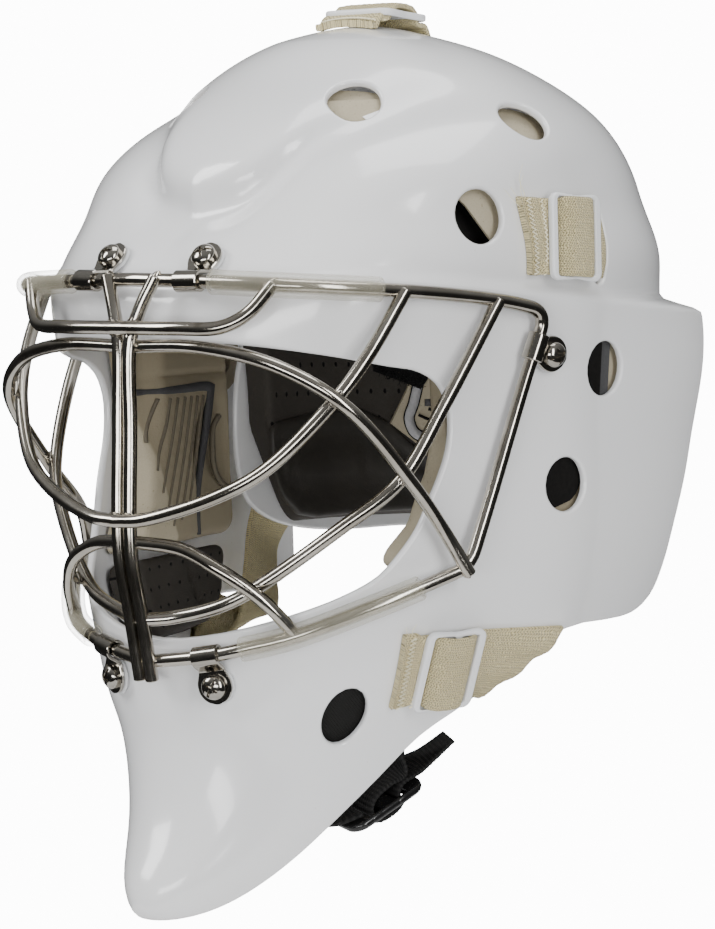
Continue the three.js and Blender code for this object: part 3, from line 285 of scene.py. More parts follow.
def shell_cover(v, a):
    """How far inside the shell's edges a point lies, in millimetres."""
    p = form_point(v, a)
    inside = outline_distance(p[..., 1], p[..., 2], REAR)
    angle = np.degrees(np.arctan2(p[..., 0], -p[..., 1]))
    scale = np.array([MM_PER_DEGREE, 1])
    inside = np.minimum(inside, -outline_distance(angle * scale[0], p[..., 2], FACE * scale))
    for y, z, wide, tall in VENTS:
        centre, normal, rearward, upward = shell_frame(y, z)
        for side in (1, MIRROR):
            q = p - centre * side
            along = np.sum(q * normal * side, -1)
            across, up = (np.sum(q * way * side, -1) for way in (rearward, upward))
            ring = np.hypot(across / wide, up / tall) - VENT_RADIUS
            inside = np.minimum(inside, np.where(np.abs(along) < 15, ring, 99))
    for (centre, along, across), sides in ((upper_slot, (1, MIRROR)), (top_slot, (1,))):
        for side in sides:
            q = p - centre * side
            du = np.abs(np.sum(q * along * side, -1)) - SLOT_SIZE[0] / 2 + 1.5
            dw = np.abs(np.sum(q * across * side, -1)) - SLOT_SIZE[1] / 2 + 1.5
            edge = np.hypot(np.maximum(du, 0), np.maximum(dw, 0)) + np.minimum(np.maximum(du, dw), 0) - 1.5
            inside = np.minimum(inside, np.where(np.sum(q * q, -1) < 900, edge, 99))
    return inside


def moulded_wall(cover, depth, wall, spacing, flared, edge_radius=1.2):
    """Closed wall with rounded edges, where cover(v, a) is positive: its outer face lies depth below
    the form. Returns points, faces and normals."""
    angles = np.arange(0, 360, 10.0)
    rows = [0.0]
    for i in range(POLE):
        apart = form_point(i + 1.0, angles, flared) - form_point(float(i), angles, flared)
        parts = math.ceil(np.linalg.norm(apart, axis=-1).max() / spacing)
        rows += list(i + (np.arange(parts) + 1) / parts)
    rows = np.array(rows)
    rows[-1] = POLE - 0.03
    count = int(360 / (spacing / 2.05))
    turns = np.arange(count) * 360 / count
    grid_v, grid_a = np.meshgrid(rows, turns, indexing="ij")
    f = cover(grid_v, grid_a) - edge_radius
    nr = len(rows)

    def crossing(v0, a0, v1, a1):
        low, high = np.zeros(len(v0)), np.ones(len(v0))
        for _ in range(14):
            t = (low + high) / 2
            kept = cover(v0 + t * (v1 - v0), a0 + t * (a1 - a0)) > edge_radius
            low, high = np.where(kept, t, low), np.where(kept, high, t)
        return v0 + low * (v1 - v0), a0 + low * (a1 - a0)

    numbers = -np.ones((nr, count), int)
    numbers[f > 0] = np.arange(np.sum(f > 0))
    uv = [grid_v[f > 0], grid_a[f > 0]]
    made, total, edge_numbers = [uv], int(np.sum(f > 0)), {}
    step = 360 / count
    for di, dj in ((0, 1), (1, 0)):
        near = f[:nr - di]
        far = np.roll(f, -dj, 1)[di:]
        i, j = np.nonzero((near > 0) != (far > 0))
        v0, a0 = rows[i], turns[j]
        v1, a1 = rows[i + di], turns[j] + dj * step
        swap = near[i, j] <= 0
        v0, v1 = np.where(swap, v1, v0), np.where(swap, v0, v1)
        a0, a1 = np.where(swap, a1, a0), np.where(swap, a0, a1)
        made.append(crossing(v0, a0, v1, a1))
        for k, key in enumerate(zip(i.tolist(), j.tolist())):
            edge_numbers[(di, *key)] = total + k
        total += len(i)
    v = np.concatenate([m[0] for m in made])
    a = np.concatenate([m[1] for m in made])
    faces, following = [], {}
    kept = f > 0
    for i in range(nr - 1):
        for j in range(count):
            k = (j + 1) % count
            corners = [(i, j), (i, k), (i + 1, k), (i + 1, j)]
            state = [kept[c] for c in corners]
            if not any(state):
                continue
            edges = [(0, i, j), (1, i, k), (0, i + 1, j), (1, i, j)]
            ring, cuts = [], []
            for c in range(4):
                if state[c]:
                    ring.append(int(numbers[corners[c]]))
                if state[c] != state[(c + 1) % 4]:
                    ring.append(edge_numbers[edges[c]])
                    cuts.append((edge_numbers[edges[c]], state[c]))
            faces.append(ring)
            for n, (number, leaving) in enumerate(cuts):
                if leaving:
                    following[number] = cuts[(n + 1) % len(cuts)][0]
    points, normals = form_point(v, a, flared), form_normal(v, a, flared)
    if kept[-1].all():
        pole = len(v)
        points = np.vstack([points, [0, form_mid(np.array(POLE - 1e-6)), CROWN_Z]])
        normals = np.vstack([normals, [0, 0, 1]])
        last = numbers[-1]
        faces += [[int(last[j]), int(last[(j + 1) % count]), pole] for j in range(count)]
    outer, inner = points - depth * normals, points - (depth + wall) * normals
    size = len(points)
    all_points, all_normals = [outer, inner], [normals, -normals]
    faces = faces + [[n + size for n in reversed(face)] for face in faces]
    rim = np.array(sorted(following))
    order = {n: k for k, n in enumerate(rim.tolist())}
    dv, da = 0.01, 0.2
    pv = (form_point(v[rim] + dv, a[rim], flared) - form_point(v[rim] - dv, a[rim], flared)) / (2 * dv)
    pa = (form_point(v[rim], a[rim] + da, flared) - form_point(v[rim], a[rim] - da, flared)) / (2 * da)
    fv = (cover(v[rim] + dv, a[rim]) - cover(v[rim] - dv, a[rim])) / (2 * dv)
    fa = (cover(v[rim], a[rim] + da) - cover(v[rim], a[rim] - da)) / (2 * da)
    e, g, h = np.sum(pv * pv, -1), np.sum(pa * pa, -1), np.sum(pv * pa, -1)
    det = np.maximum(e * g - h * h, 1e-9)
    slope = ((fv * g - fa * h) / det)[:, None] * pv + ((fa * e - fv * h) / det)[:, None] * pa
    outward = -unit(slope)
    turn = np.radians(np.array([22.5, 45, 67.5, 90]))
    profile = [(edge_radius * math.sin(t), edge_radius * (1 - math.cos(t)), math.sin(t), math.cos(t))
               for t in turn]
    profile += [(out, wall - down, o, -u) for out, down, o, u in reversed(profile)]
    strip = [rim]
    base = 2 * size
    for out, down, o, u in profile:
        all_points.append(outer[rim] + out * outward - down * normals[rim])
        all_normals.append(o * outward + u * normals[rim])
        strip.append(base + np.arange(len(rim)))
        base += len(rim)
    strip.append(rim + size)
    for number, follower in following.items():
        n, m = order[number], order[follower]
        for low, high in zip(strip, strip[1:]):
            faces.append([int(low[m]), int(low[n]), int(high[n]), int(high[m])])
    return np.concatenate(all_points), faces, np.concatenate(all_normals)


def add_piece(name, geometry, material, replaced=(), surface=None):
    """Mesh piece in the frame from points in millimetres, faces and optional normals and surface
    coordinates. It rides on the one body."""
    points, faces, normals = (*geometry, None)[:3]
    mesh = bpy.data.meshes.new(name)
    mesh.from_pydata((np.asarray(points) * MM).tolist(), [], faces)
    mesh.polygons.foreach_set("use_smooth", np.ones(len(mesh.polygons), bool))
    if surface is not None:
        layer = mesh.uv_layers.new(name="surface")
        loops = np.zeros(len(mesh.loops), int)
        mesh.loops.foreach_get("vertex_index", loops)
        layer.data.foreach_set("uv", (np.asarray(surface)[loops] * MM).astype(np.float32).ravel())
    if normals is not None:
        mesh.normals_split_custom_set_from_vertices(unit(np.asarray(normals, float)).tolist())
    mesh.materials.append(material)
    piece = bpy.data.objects.new(name, mesh)
    bpy.context.scene.collection.objects.link(piece)
    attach(piece, "root")
    if replaced:
        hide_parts(*replaced)
    return piece


def mirrored(geometry):
    points, faces, *normals = geometry
    return points * MIRROR, [face[::-1] for face in faces], *(n * MIRROR for n in normals)


def add_pair(name, geometry, material, replaced=(), surface=None, words=("left", "right")):
    """A piece of one side of the mask and its mirror image."""
    pieces = []
    for word, made in zip(words, (geometry, mirrored(geometry))):
        nodes = [f"{node}_{word}" for node in replaced]
        pieces.append(add_piece(f"{name}_{word}", made, material, nodes, surface))
    return pieces


class Shade:
    """A shader value of one material. Arithmetic on it adds Math nodes."""

    def __init__(self, tree, socket=None):
        self.tree, self.socket = tree, socket

    def node(self, kind, settings=(), sockets=(), output=0):
        made = self.tree.nodes.new(kind)
        for key, value in dict(settings).items():
            if key == "stops":
                ramp = made.color_ramp
                while len(ramp.elements) < len(value):
                    ramp.elements.new(0.5)
                for element, (place, colour) in zip(ramp.elements, value):
                    element.position = place
                    element.color = (*colour, 1) if len(colour) == 3 else colour
            else:
                setattr(made, key, value)
        for key, value in dict(sockets).items():
            if isinstance(value, Shade):
                self.tree.links.new(value.socket, made.inputs[key])
            else:
                made.inputs[key].default_value = value
        return Shade(self.tree, made.outputs[output])

    def math(self, operation, *values):
        return self.node("ShaderNodeMath", {"operation": operation}, dict(enumerate(values)))

    def __add__(self, other):
        return self.math("ADD", self, other)

    def __sub__(self, other):
        return self.math("SUBTRACT", self, other)

    def __rsub__(self, other):
        return self.math("SUBTRACT", other, self)

    def __mul__(self, other):
        return self.math("MULTIPLY", self, other)

    def __pow__(self, other):
        return self.math("POWER", self, other)

    __radd__, __rmul__ = __add__, __mul__

    def between(self, low, high):
        """0 below low and 1 above high, with a soft step between."""
        settings = {"interpolation_type": "SMOOTHSTEP"}
        return self.node("ShaderNodeMapRange", settings, {"Value": self, "From Min": low, "From Max": high})

    def part(self, axis):
        return self.node("ShaderNodeSeparateXYZ", (), {0: self}, axis)

    def surface(self):
        """Place on a piece in its own length and width, in metres."""
        return self.node("ShaderNodeUVMap", {"uv_map": "surface"})

    def mix(self, low, high):
        """Colour between two colours, by this value."""
        low, high = (c if isinstance(c, Shade) else (*c, 1) for c in (low, high))
        return self.node("ShaderNodeMix", {"data_type": "RGBA"}, {0: self, 6: low, 7: high}, 2)

    def noise(self, at, scale, detail=3.0, rough=0.55, kind="3D"):
        settings = {"noise_dimensions": kind}
        return self.node("ShaderNodeTexNoise", settings,
                         {"Vector": at, "Scale": scale, "Detail": detail, "Roughness": rough})

    def stretched(self, at, scale):
        return self.node("ShaderNodeMapping", (), {"Vector": at, "Scale": scale})

    def bump(self, strength, depth, below=None):
        sockets = {"Height": self, "Strength": strength, "Distance": depth}
        if below:
            sockets["Normal"] = below
        return self.node("ShaderNodeBump", (), sockets)


def finish_of(name, paint, **constants):
    """Material with the given constants on the shader. paint(shade, at) returns what varies: at is
    the place on the object in metres."""
    material = bpy.data.materials.new(name)
    material.use_nodes = True
    shader = material.node_tree.nodes["Principled BSDF"]
    for key, value in constants.items():
        shader.inputs[key.replace("_", " ")].default_value = value
    shade = Shade(material.node_tree)
    at = shade.node("ShaderNodeTexCoord", output="Object")
    for key, value in paint(shade, at).items():
        material.node_tree.links.new(value.socket, shader.inputs[key])
    return material


def mottled(low, high, scale, detail=3.0, stretch=None, rough=None, bump=None):
    """Finish that varies between two colours by one grain. rough is the least roughness and its
    span, and bump is a strength and a depth."""
    def paint(shade, at):
        grain = shade.noise(shade.stretched(at, stretch) if stretch else at, scale, detail)
        made = {"Base Color": grain.mix(low, high)}
        if rough:
            made["Roughness"] = rough[0] + rough[1] * grain
        if bump:
            made["Normal"] = grain.bump(*bump)
        return made
    return paint


def white_coat(shade, at):
    """Glossy white paint: faint mottling, fine dust and a slight ripple."""
    cloud = shade.noise(at, 9.0, 2.0)
    speck = shade.noise(at, 620.0, 1.0).between(0.79, 0.82)
    rub = shade.noise(shade.stretched(at, (60.0, 60.0, 14.0)), 5.0, 4.0)
    tone = cloud.between(0.3, 0.7).mix((0.80, 0.805, 0.815), (0.835, 0.838, 0.842))
    ripple = shade.noise(at, 210.0, 1.0).bump(0.05, 0.0004)
    return {
        "Base Color": (speck * 0.5).mix(tone, (0.5, 0.48, 0.45)),
        "Roughness": 0.15 + 0.12 * rub + 0.25 * speck,
        "Normal": shade.noise(at, 1500.0, 2.0).bump(0.04, 0.0001, ripple),
    }


shell_white = finish_of("shell white", white_coat, Coat_Weight=0.6, Coat_Roughness=0.08)
add_piece("shell_wall", moulded_wall(shell_cover, 0, SHELL_WALL, 3.0, True), shell_white,
          ["shell"])

# ---- back plate ------------------------------------------------------------------------------
# A separate white plate round the back of the head, 2.5 mm thick, lying inside the shell's rear
# edge and hung on the five elastic straps.
PLATE_INSET, PLATE_WALL = 7.0, 2.5
PLATE = through([
    [16.5, -36], [15.2, -22], [16, -4], [21, 12], [28, 30], [32, 55], [34, 80], [37, 102], [42, 130]], 3)
PLATE = np.concatenate([PLATE, [[160, 130], [160, -64]], through([
    [92, -64.5], [72, -65], [50, -63], [32, -57.5], [21, -49], [16.5, -36]], 3)])


def plate_cover(v, a):
    p = form_point(v, a, False)
    return outline_distance(p[..., 1], p[..., 2], PLATE)


add_piece("back_plate_wall", moulded_wall(plate_cover, PLATE_INSET, PLATE_WALL, 3.4, False, 1.0),
          shell_white, ["back_plate"])

# ---- wire cage -------------------------------------------------------------------------------
# Polished stainless wire, 4.8 mm thick. One wire frames the opening and the others are bent over
# the face and welded to it and to each other. Left halves, from the mirror plane outwards.
WIRE_RADIUS = 2.4
FRAME_TOP = [[0, -122, 40], [24, -119.5, 39.5], [60, -111, 38], [83, -77, 35.5], [93.5, -39, 31.5],
             [98, -18.5, 27.5]]
FRAME_SIDE = [[98, -18.5, 27.5], [94, -25.5, 5], [90, -40, -34], [88, -50.5, -59]]
FRAME_BOTTOM = [[0, -118, -91], [23, -112.5, -88], [36, -108, -85], [50, -100.5, -81], [72, -78, -70],
                [88, -50.5, -59]]
CENTRE_WIRE = [[11, -123, 41], [6, -125.5, 30], [2.7, -127, 19], [2.7, -127.5, -10], [2.7, -128, -53],
               [2.7, -123.5, -73], [2.7, -118.5, -97]]
VISOR = [[0, -131, 24], [25, -130, 24], [42, -125, 24.5], [49.5, -120, 29], [56, -114.5, 38.5]]
UPPER_ARCH = [[0, -124.5, 17.5], [32, -124, 17.5], [59, -117, 11.5], [78, -104, -2], [84.5, -78, -28.5],
              [85, -61, -46], [89.2, -52.2, -61.2]]
U_WIRE = [[0, -132, -41.5], [12, -131.5, -40.5], [39, -124.5, -32], [55, -117.5, -22.5], [72, -104, -1],
          [79, -93.5, 14.5], [83.5, -79, 35.5]]
DIAGONAL = [[2.7, -122, -76], [12, -116.5, -75], [33, -110, -68.5], [66, -91, -43], [80, -79, -28.5],
            [88, -64, -3], [94, -41, 31.5]]
LOWER_ARCH = [[2.7, -126.5, -49], [20, -121.5, -51], [33, -118.5, -57], [45, -109, -68], [51.5, -99, -80.5]]


def both_halves(path):
    path = np.asarray(path, float)
    return np.concatenate([path[:0:-1] * MIRROR, path])


def joined(parts):
    """Several sets of points, faces and normals as one."""
    points, faces, normals, base = [], [], [], 0
    for p, f, n in parts:
        points.append(p)
        normals.append(n)
        faces += [[i + base for i in face] for face in f]
        base += len(p)
    return np.concatenate(points), faces, np.concatenate(normals)


def skin(rings, sides, looped=False, turned=False):
    """Four-cornered faces between rings of points that each have the same number of sides."""
    faces = []
    for i in range(rings if looped else rings - 1):
        for j in range(sides):
            k, m = (j + 1) % sides, (i + 1) % rings
            face = [i * sides + j, i * sides + k, m * sides + k, m * sides + j]
            faces.append([face[0], *face[:0:-1]] if turned else face)
    return faces


def tube(path, radius, sides=14, bevel=0.4, looped=False):
    """Round bar along a path, with slightly bevelled ends, or closed into a loop."""
    path = np.asarray(path, float)
    if looped:
        tangents = unit(np.roll(path, -1, 0) - np.roll(path, 1, 0))
    else:
        tangents = unit(np.gradient(path, axis=0))
    radii = np.full(len(path), float(radius)) if np.isscalar(radius) else np.asarray(radius)
    side = unit(np.cross(tangents[0], [0.3, 0.2, 1.0]))
    rings, normals = [], []
    turns = np.arange(sides) * 2 * np.pi / sides
    for point, tangent, r in zip(path, tangents, radii):
        side = unit(side - tangent * np.dot(side, tangent))
        other = np.cross(tangent, side)
        out = np.cos(turns)[:, None] * side + np.sin(turns)[:, None] * other
        rings.append(point + out * r)
        normals.append(out)
    if not looped:
        bevel = min(bevel, radii[0] * 0.6)
        for end, sign in ((0, -1), (-1, 1)):
            out = normals[end]
            capped = path[end] + out * (radii[end] - bevel) + tangents[end] * bevel * sign
            place = 0 if end == 0 else len(rings)
            rings.insert(place, capped)
            normals.insert(place, unit(out + tangents[end] * sign))
    count = len(rings)
    faces = skin(count, sides, looped)
    points, normals = np.concatenate(rings), np.concatenate(normals)
    if not looped:
        for ring, sign in ((0, -1), (count - 1, 1)):
            start = len(points)
            points = np.concatenate([points, points[ring * sides:(ring + 1) * sides]])
            cap = np.repeat(tangents[[0 if sign < 0 else -1]] * sign, sides, 0)
            normals = np.concatenate([normals, cap])
            face = [start + j for j in range(sides)]
            faces.append(face[::-1] if sign < 0 else face)
    return points, faces, normals


def corner(first, second, reach):
    """Two paths that meet at a point, each cut back by reach from where they meet, to leave room for a
    rounded corner between them.
    """
    first = first[np.linalg.norm(first - first[-1], axis=1) > reach]
    second = second[np.linalg.norm(second - second[0], axis=1) > reach]
    return first, second


def bend(start, knee, end, steps=8):
    t = np.linspace(0, 1, steps + 2)[1:-1, None]
    return (1 - t) ** 2 * start + 2 * t * (1 - t) * knee + t**2 * end


frame_top, frame_side, frame_bottom = (through(rows, 12) for rows in (FRAME_TOP, FRAME_SIDE, FRAME_BOTTOM))
upper, lower_knee = frame_top[-1], frame_side[-1]
first, second = corner(frame_top, frame_side, 7)
second, third = corner(second, frame_bottom[::-1], 5)
left_loop = np.concatenate([
    first, bend(first[-1], upper, second[0]), second, bend(second[-1], lower_knee, third[0]), third])
loop = np.concatenate([left_loop, (left_loop * MIRROR)[-2:0:-1]])
wires = [tube(loop, WIRE_RADIUS, looped=True)]
wires += [tube(both_halves(through(rows, 12)), WIRE_RADIUS) for rows in (VISOR, UPPER_ARCH, U_WIRE)]
for rows in (CENTRE_WIRE, DIAGONAL, LOWER_ARCH):
    wire = tube(through(rows, 12), WIRE_RADIUS)
    wires += [wire, mirrored(wire)]


def weld(path, other):
    """Small bead where a wire touches another."""
    path, other = through(path, 12), through(other, 12)
    apart = np.linalg.norm(path[:, None] - other[None], axis=-1)
    i, j = np.unravel_index(np.argmin(apart), apart.shape)
    i = min(max(i, 1), len(path) - 2)
    centre, along = (path[i] + other[j]) / 2, unit(path[i + 1] - path[i - 1])
    reach = np.linspace(-1, 1, 9)
    radii = 1.9 * np.sqrt(np.maximum(1.02 - reach**2, 0.03))
    return tube(centre + reach[:, None] * along * 3.4, radii, 10, 0.05)


beads = [weld(*pair) for pair in (
    (CENTRE_WIRE, FRAME_TOP), (CENTRE_WIRE, VISOR), (CENTRE_WIRE, UPPER_ARCH), (CENTRE_WIRE, FRAME_BOTTOM),
    (U_WIRE, UPPER_ARCH), (DIAGONAL, UPPER_ARCH), (DIAGONAL, LOWER_ARCH),
    (VISOR, FRAME_TOP), (U_WIRE, FRAME_TOP), (LOWER_ARCH, FRAME_BOTTOM), (DIAGONAL, FRAME_TOP),
    (UPPER_ARCH, FRAME_BOTTOM), (LOWER_ARCH, CENTRE_WIRE), (DIAGONAL, CENTRE_WIRE), (U_WIRE, CENTRE_WIRE))]
wires += beads + [mirrored(bead) for bead in beads]


def drawn_steel(shade, at):
    """Polished steel wire: cloudy polish, fine rub marks and a few darker spots of heat colour."""
    cloud = shade.noise(at, 38.0, 3.0)
    marks = shade.noise(shade.stretched(at, (1.0, 1.0, 0.25)), 900.0, 3.0)
    heat = shade.noise(at, 70.0, 2.0).between(0.62, 0.72)
    bright = cloud.between(0.35, 0.65).mix((0.34, 0.315, 0.27), (0.48, 0.452, 0.40))
    return {
        "Base Color": (heat * 0.45).mix(bright, (0.16, 0.125, 0.085)),
        "Roughness": 0.07 + 0.09 * marks + 0.07 * cloud,
        "Normal": marks.bump(0.06, 0.0002),
    }


wire_steel = finish_of("drawn steel", drawn_steel, Metallic=1.0)
add_piece("cage_wires", joined(wires), wire_steel, ["cage"])

# ---- cage sleeves ----------------------------------------------------------------------------
# Soft clear vinyl tube, slightly yellow, slit and pushed over the frame wire where it lies on the
# shell. Each side has one on the top wire and one on the bottom wire.
SLEEVES = {"top": (frame_top, 32, 80), "bottom": (frame_bottom, 34, 80)}


def sleeve(path, low, high, inner=2.75, outer=4.3):
    part = path[(path[:, 0] > low) & (path[:, 0] < high)]
    outside, inside = tube(part, outer, 20, 0.3), tube(part, inner, 20, 0)
    points, faces, normals = outside
    rings = len(part) + 2
    body = [face for face in faces if len(face) == 4]
    base = len(points)
    inner_points, inner_normals = inside[0], -inside[2]
    inner_faces = [[i + base for i in face[::-1]] for face in inside[1] if len(face) == 4]
    ends = []
    for ring, flip in ((0, False), (rings - 1, True)):
        for j in range(20):
            k = (j + 1) % 20
            face = [ring * 20 + j, base + ring * 20 + j, base + ring * 20 + k, ring * 20 + k]
            ends.append(face[::-1] if flip else face)
    return (np.concatenate([points, inner_points]), body + inner_faces + ends,
            np.concatenate([normals, inner_normals]))


def clear_vinyl(shade, at):
    """Clear vinyl: more opaque seen edge on, with faint clouding."""
    edge = shade.node("ShaderNodeLayerWeight", (), {"Blend": 0.4}, "Facing")
    cloud = shade.noise(at, 160.0, 2.0)
    return {
        "Base Color": cloud.mix((0.62, 0.58, 0.44), (0.70, 0.67, 0.54)),
        "Alpha": 0.10 + 0.05 * cloud + 0.6 * edge * edge,
        "Roughness": 0.06 + 0.08 * cloud,
    }


vinyl = finish_of("clear vinyl", clear_vinyl, Coat_Weight=0.3)
for name, span in SLEEVES.items():
    add_pair(f"sleeve_{name}", sleeve(*span), vinyl, [f"cage_sleeve_{name}"])

# ---- cage clips, screws and washers ----------------------------------------------------------
# Six steel clips are bent round the frame wire. A domed screw with a combined cross and straight
# slot holds each down on a translucent plastic washer that cushions the shell.
CLIPS = {
    "top": (frame_top, 11.3, 45.6, 0.4), "side": (frame_side, 81.6, 12.6, 1.0),
    "bottom": (frame_bottom, 12, -98.4, 0.5),
}
CLIP_THICKNESS, CLIP_HEIGHT, HEAD_BASE, HEAD_RADIUS = 1.2, 2.1, 3.0, 4.4


def clip_place(wire, angle, z, lift):
    """Axes (towards the wire, across, out of the shell), origin and the wire's place in them."""
    v = solve(form_z, np.array([float(z)]), 0, POLE)
    normal = form_normal(v, np.array([float(angle)]))[0]
    point = form_point(v, np.array([float(angle)]))[0] + normal * lift
    fine = through(wire[::12], 60)
    reach_out = fine[np.argmin(np.linalg.norm(fine - point, axis=1))] - point
    rise = float(reach_out @ normal)
    along = unit(reach_out - rise * normal)
    across = np.cross(normal, along)
    return np.array([along, across, normal]), point, rise, float(reach_out @ along)


def strip(path, normals, half_widths, thickness, bevel=0.25):
    """Flat bar along a path in the plane y = 0, with bevelled edges."""
    rings = []
    t = thickness / 2
    for point, normal, h in zip(path, normals, half_widths):
        section = [(-h, -t + bevel), (-h, t - bevel), (-h + bevel, t), (h - bevel, t),
                   (h, t - bevel), (h, -t + bevel), (h - bevel, -t), (-h + bevel, -t)]
        rings.append([[point[0] + normal[0] * b, a, point[1] + normal[1] * b] for a, b in section])
    last = (len(rings) - 1) * 8
    ends = [list(range(8)), list(range(last + 7, last - 1, -1))]
    return np.array(rings).reshape(-1, 3), skin(len(rings), 8, turned=True) + ends


def clip(rise, run):
    bend_radius = WIRE_RADIUS + 0.15 + CLIP_THICKNESS / 2
    start = np.array([6.0, CLIP_HEIGHT])
    apart = np.array([run, rise]) - start
    lift = math.atan2(apart[1], apart[0]) + math.asin(min(1, bend_radius / np.hypot(*apart)))
    turns = lift + math.pi / 2 - np.radians(np.linspace(0, 235, 22))
    round_wire = np.stack([run + bend_radius * np.cos(turns), rise + bend_radius * np.sin(turns)], 1)
    flat = np.stack([np.linspace(-6.2, 6.0, 16), np.full(16, CLIP_HEIGHT)], 1)
    rising = bend(flat[-2], start, start + 0.35 * (round_wire[0] - start), 5)
    path = np.concatenate([flat[:-1], rising, round_wire])
    tangents = unit(np.gradient(path, axis=0))
    normals = np.stack([-tangents[:, 1], tangents[:, 0]], 1)
    x = np.minimum(path[:, 0], 6.3)
    half = np.where(x < 0, np.sqrt(np.maximum(6.25**2 - x**2, 0.5)), 6.25 - 1.5 * smooth(x / 7))
    return strip(path, normals, half, CLIP_THICKNESS)


def lathe_cap(heights, radii, sides=144):
    """Closed solid of revolution whose upper face has a height for each ring and turn."""
    turns = np.arange(sides) * 2 * np.pi / sides
    points = [[0, 0, heights[0][0]]]
    for r, row in zip(radii, heights):
        points += [[r * math.cos(t), r * math.sin(t), h] for t, h in zip(turns, row)]
    points += [[radii[-1] * math.cos(t), radii[-1] * math.sin(t), -2.5] for t in turns]
    faces = [[0, 1 + j, 1 + (j + 1) % sides] for j in range(sides)]
    for i in range(len(radii)):
        a, b = 1 + i * sides, 1 + (i + 1) * sides
        faces += [[a + j, b + j, b + (j + 1) % sides, a + (j + 1) % sides] for j in range(sides)]
    last = 1 + len(radii) * sides
    faces.append([last + j for j in reversed(range(sides))])
    return np.array(points), faces


def screw(turned):
    """Domed head with a cross and a straight slot, turned by some angle."""
    radii = np.concatenate([np.linspace(0.12, 4.2, 48), [4.34, HEAD_RADIUS, HEAD_RADIUS]])
    turns = np.arange(144) * 2 * np.pi / 144 + turned
    rows = []
    for k, r in enumerate(radii):
        dome = HEAD_BASE + 0.7 + 2.5 * (1 - min(r / 4.45, 1) ** 2.3) ** 0.6
        x, y = r * np.cos(turns), r * np.sin(turns)
        cross = np.minimum(np.abs(x), np.abs(y)) - 0.5 + 0.08 * r
        cross = np.where(r < 2.5, cross, 9)
        straight = np.where(r < 3.7, np.abs(y) - 0.42, 9)
        depth = 1.5 * (1 - smooth((cross + 0.12) / 0.24)) * (1 - 0.25 * r / 2.5)
        depth = np.maximum(depth, 0.9 * (1 - smooth((straight + 0.12) / 0.24)))
        rows.append(np.full(144, HEAD_BASE) if k == len(radii) - 1 else dome - depth)
    return lathe_cap(rows, radii)


def washer():
    profile = [(2.6, 0), (6.3, 0), (6.6, 0.3), (6.6, 0.9), (6.3, 1.2), (4.6, 1.2), (2.6, 1.2)]
    sides = 40
    turns = np.arange(sides) * 2 * np.pi / sides
    points = np.array([[r * math.cos(t), r * math.sin(t), h] for r, h in profile for t in turns])
    return points, skin(len(profile), sides, looped=True)


def placed(local, axes, origin, side=1):
    made = local[0] @ axes + origin, local[1]
    return made if side > 0 else mirrored(made)


def pale_nylon(shade, at):
    return {"Base Color": shade.noise(at, 120.0).mix((0.74, 0.75, 0.76), (0.82, 0.83, 0.84)),
            "Alpha": 0.72 + 0.1 * shade.noise(at, 60.0)}


spring_steel = mottled((0.30, 0.28, 0.245), (0.42, 0.40, 0.36), 420.0, 3.0, (1.0, 1.0, 6.0), (0.08, 0.10),
                       (0.03, 0.0001))
clip_steel = finish_of("spring steel", spring_steel, Metallic=1.0)
nylon = finish_of("pale nylon", pale_nylon, Roughness=0.3)


def crisp(piece, angle=35):
    piece.data.set_sharp_from_angle(angle=math.radians(angle))


for number, (name, spot) in enumerate(CLIPS.items()):
    axes, origin, rise, run = clip_place(*spot)
    for side, word in ((1, "left"), (-1, "right")):
        crisp(add_piece(f"clip_{name}_{word}", placed(clip(rise, run), axes, origin, side), clip_steel,
                        [f"cage_clamp_{name}_{word}"]), 30)
        head = screw(0.7 + 1.3 * number + 0.5 * side)
        crisp(add_piece(f"screw_{name}_{word}", placed(head, axes, origin, side), clip_steel,
                        [f"clamp_screw_{name}_{word}"]), 40)
        crisp(add_piece(f"washer_{name}_{word}", placed(washer(), axes, origin, side), nylon,
                        [f"clamp_washer_{name}_{word}"]), 50)

# ---- elastic straps --------------------------------------------------------------------------
# Knitted cream elastic, 26.5 mm wide and 2 mm thick. Each strap's hemmed end is stitched and lies on
# the shell. The strap runs up through its buckle and inside to the back plate, on which it ends.
STRAP_WIDTH, STRAP_THICKNESS, SEAT_GAP = 26.5, 2.0, 0.3
BUCKLE_ALONG, BUCKLE_ACROSS, BUCKLE_THICKNESS, BUCKLE_RAIL, BUCKLE_END = 25.5, 30.5, 2.6, 3.0, 1.6
FLAT = STRAP_THICKNESS / 2 + SEAT_GAP
RAIL_BASE = STRAP_THICKNESS + 2 * SEAT_GAP
HUMP = RAIL_BASE + BUCKLE_THICKNESS + SEAT_GAP + STRAP_THICKNESS / 2
INSIDE = -(SHELL_WALL + SEAT_GAP + STRAP_THICKNESS / 2 + 0.2)
ON_PLATE = FLAT + 0.2 - PLATE_INSET
# Half of the way through the buckle, from under a rail to the top of the bar: distance, height.
THROUGH_BUCKLE = [(13.4, FLAT), (10.8, FLAT), (8.4, FLAT + 0.7), (7, HUMP - 2.2), (5, HUMP - 0.6), (2, HUMP)]
HEM = 8.6


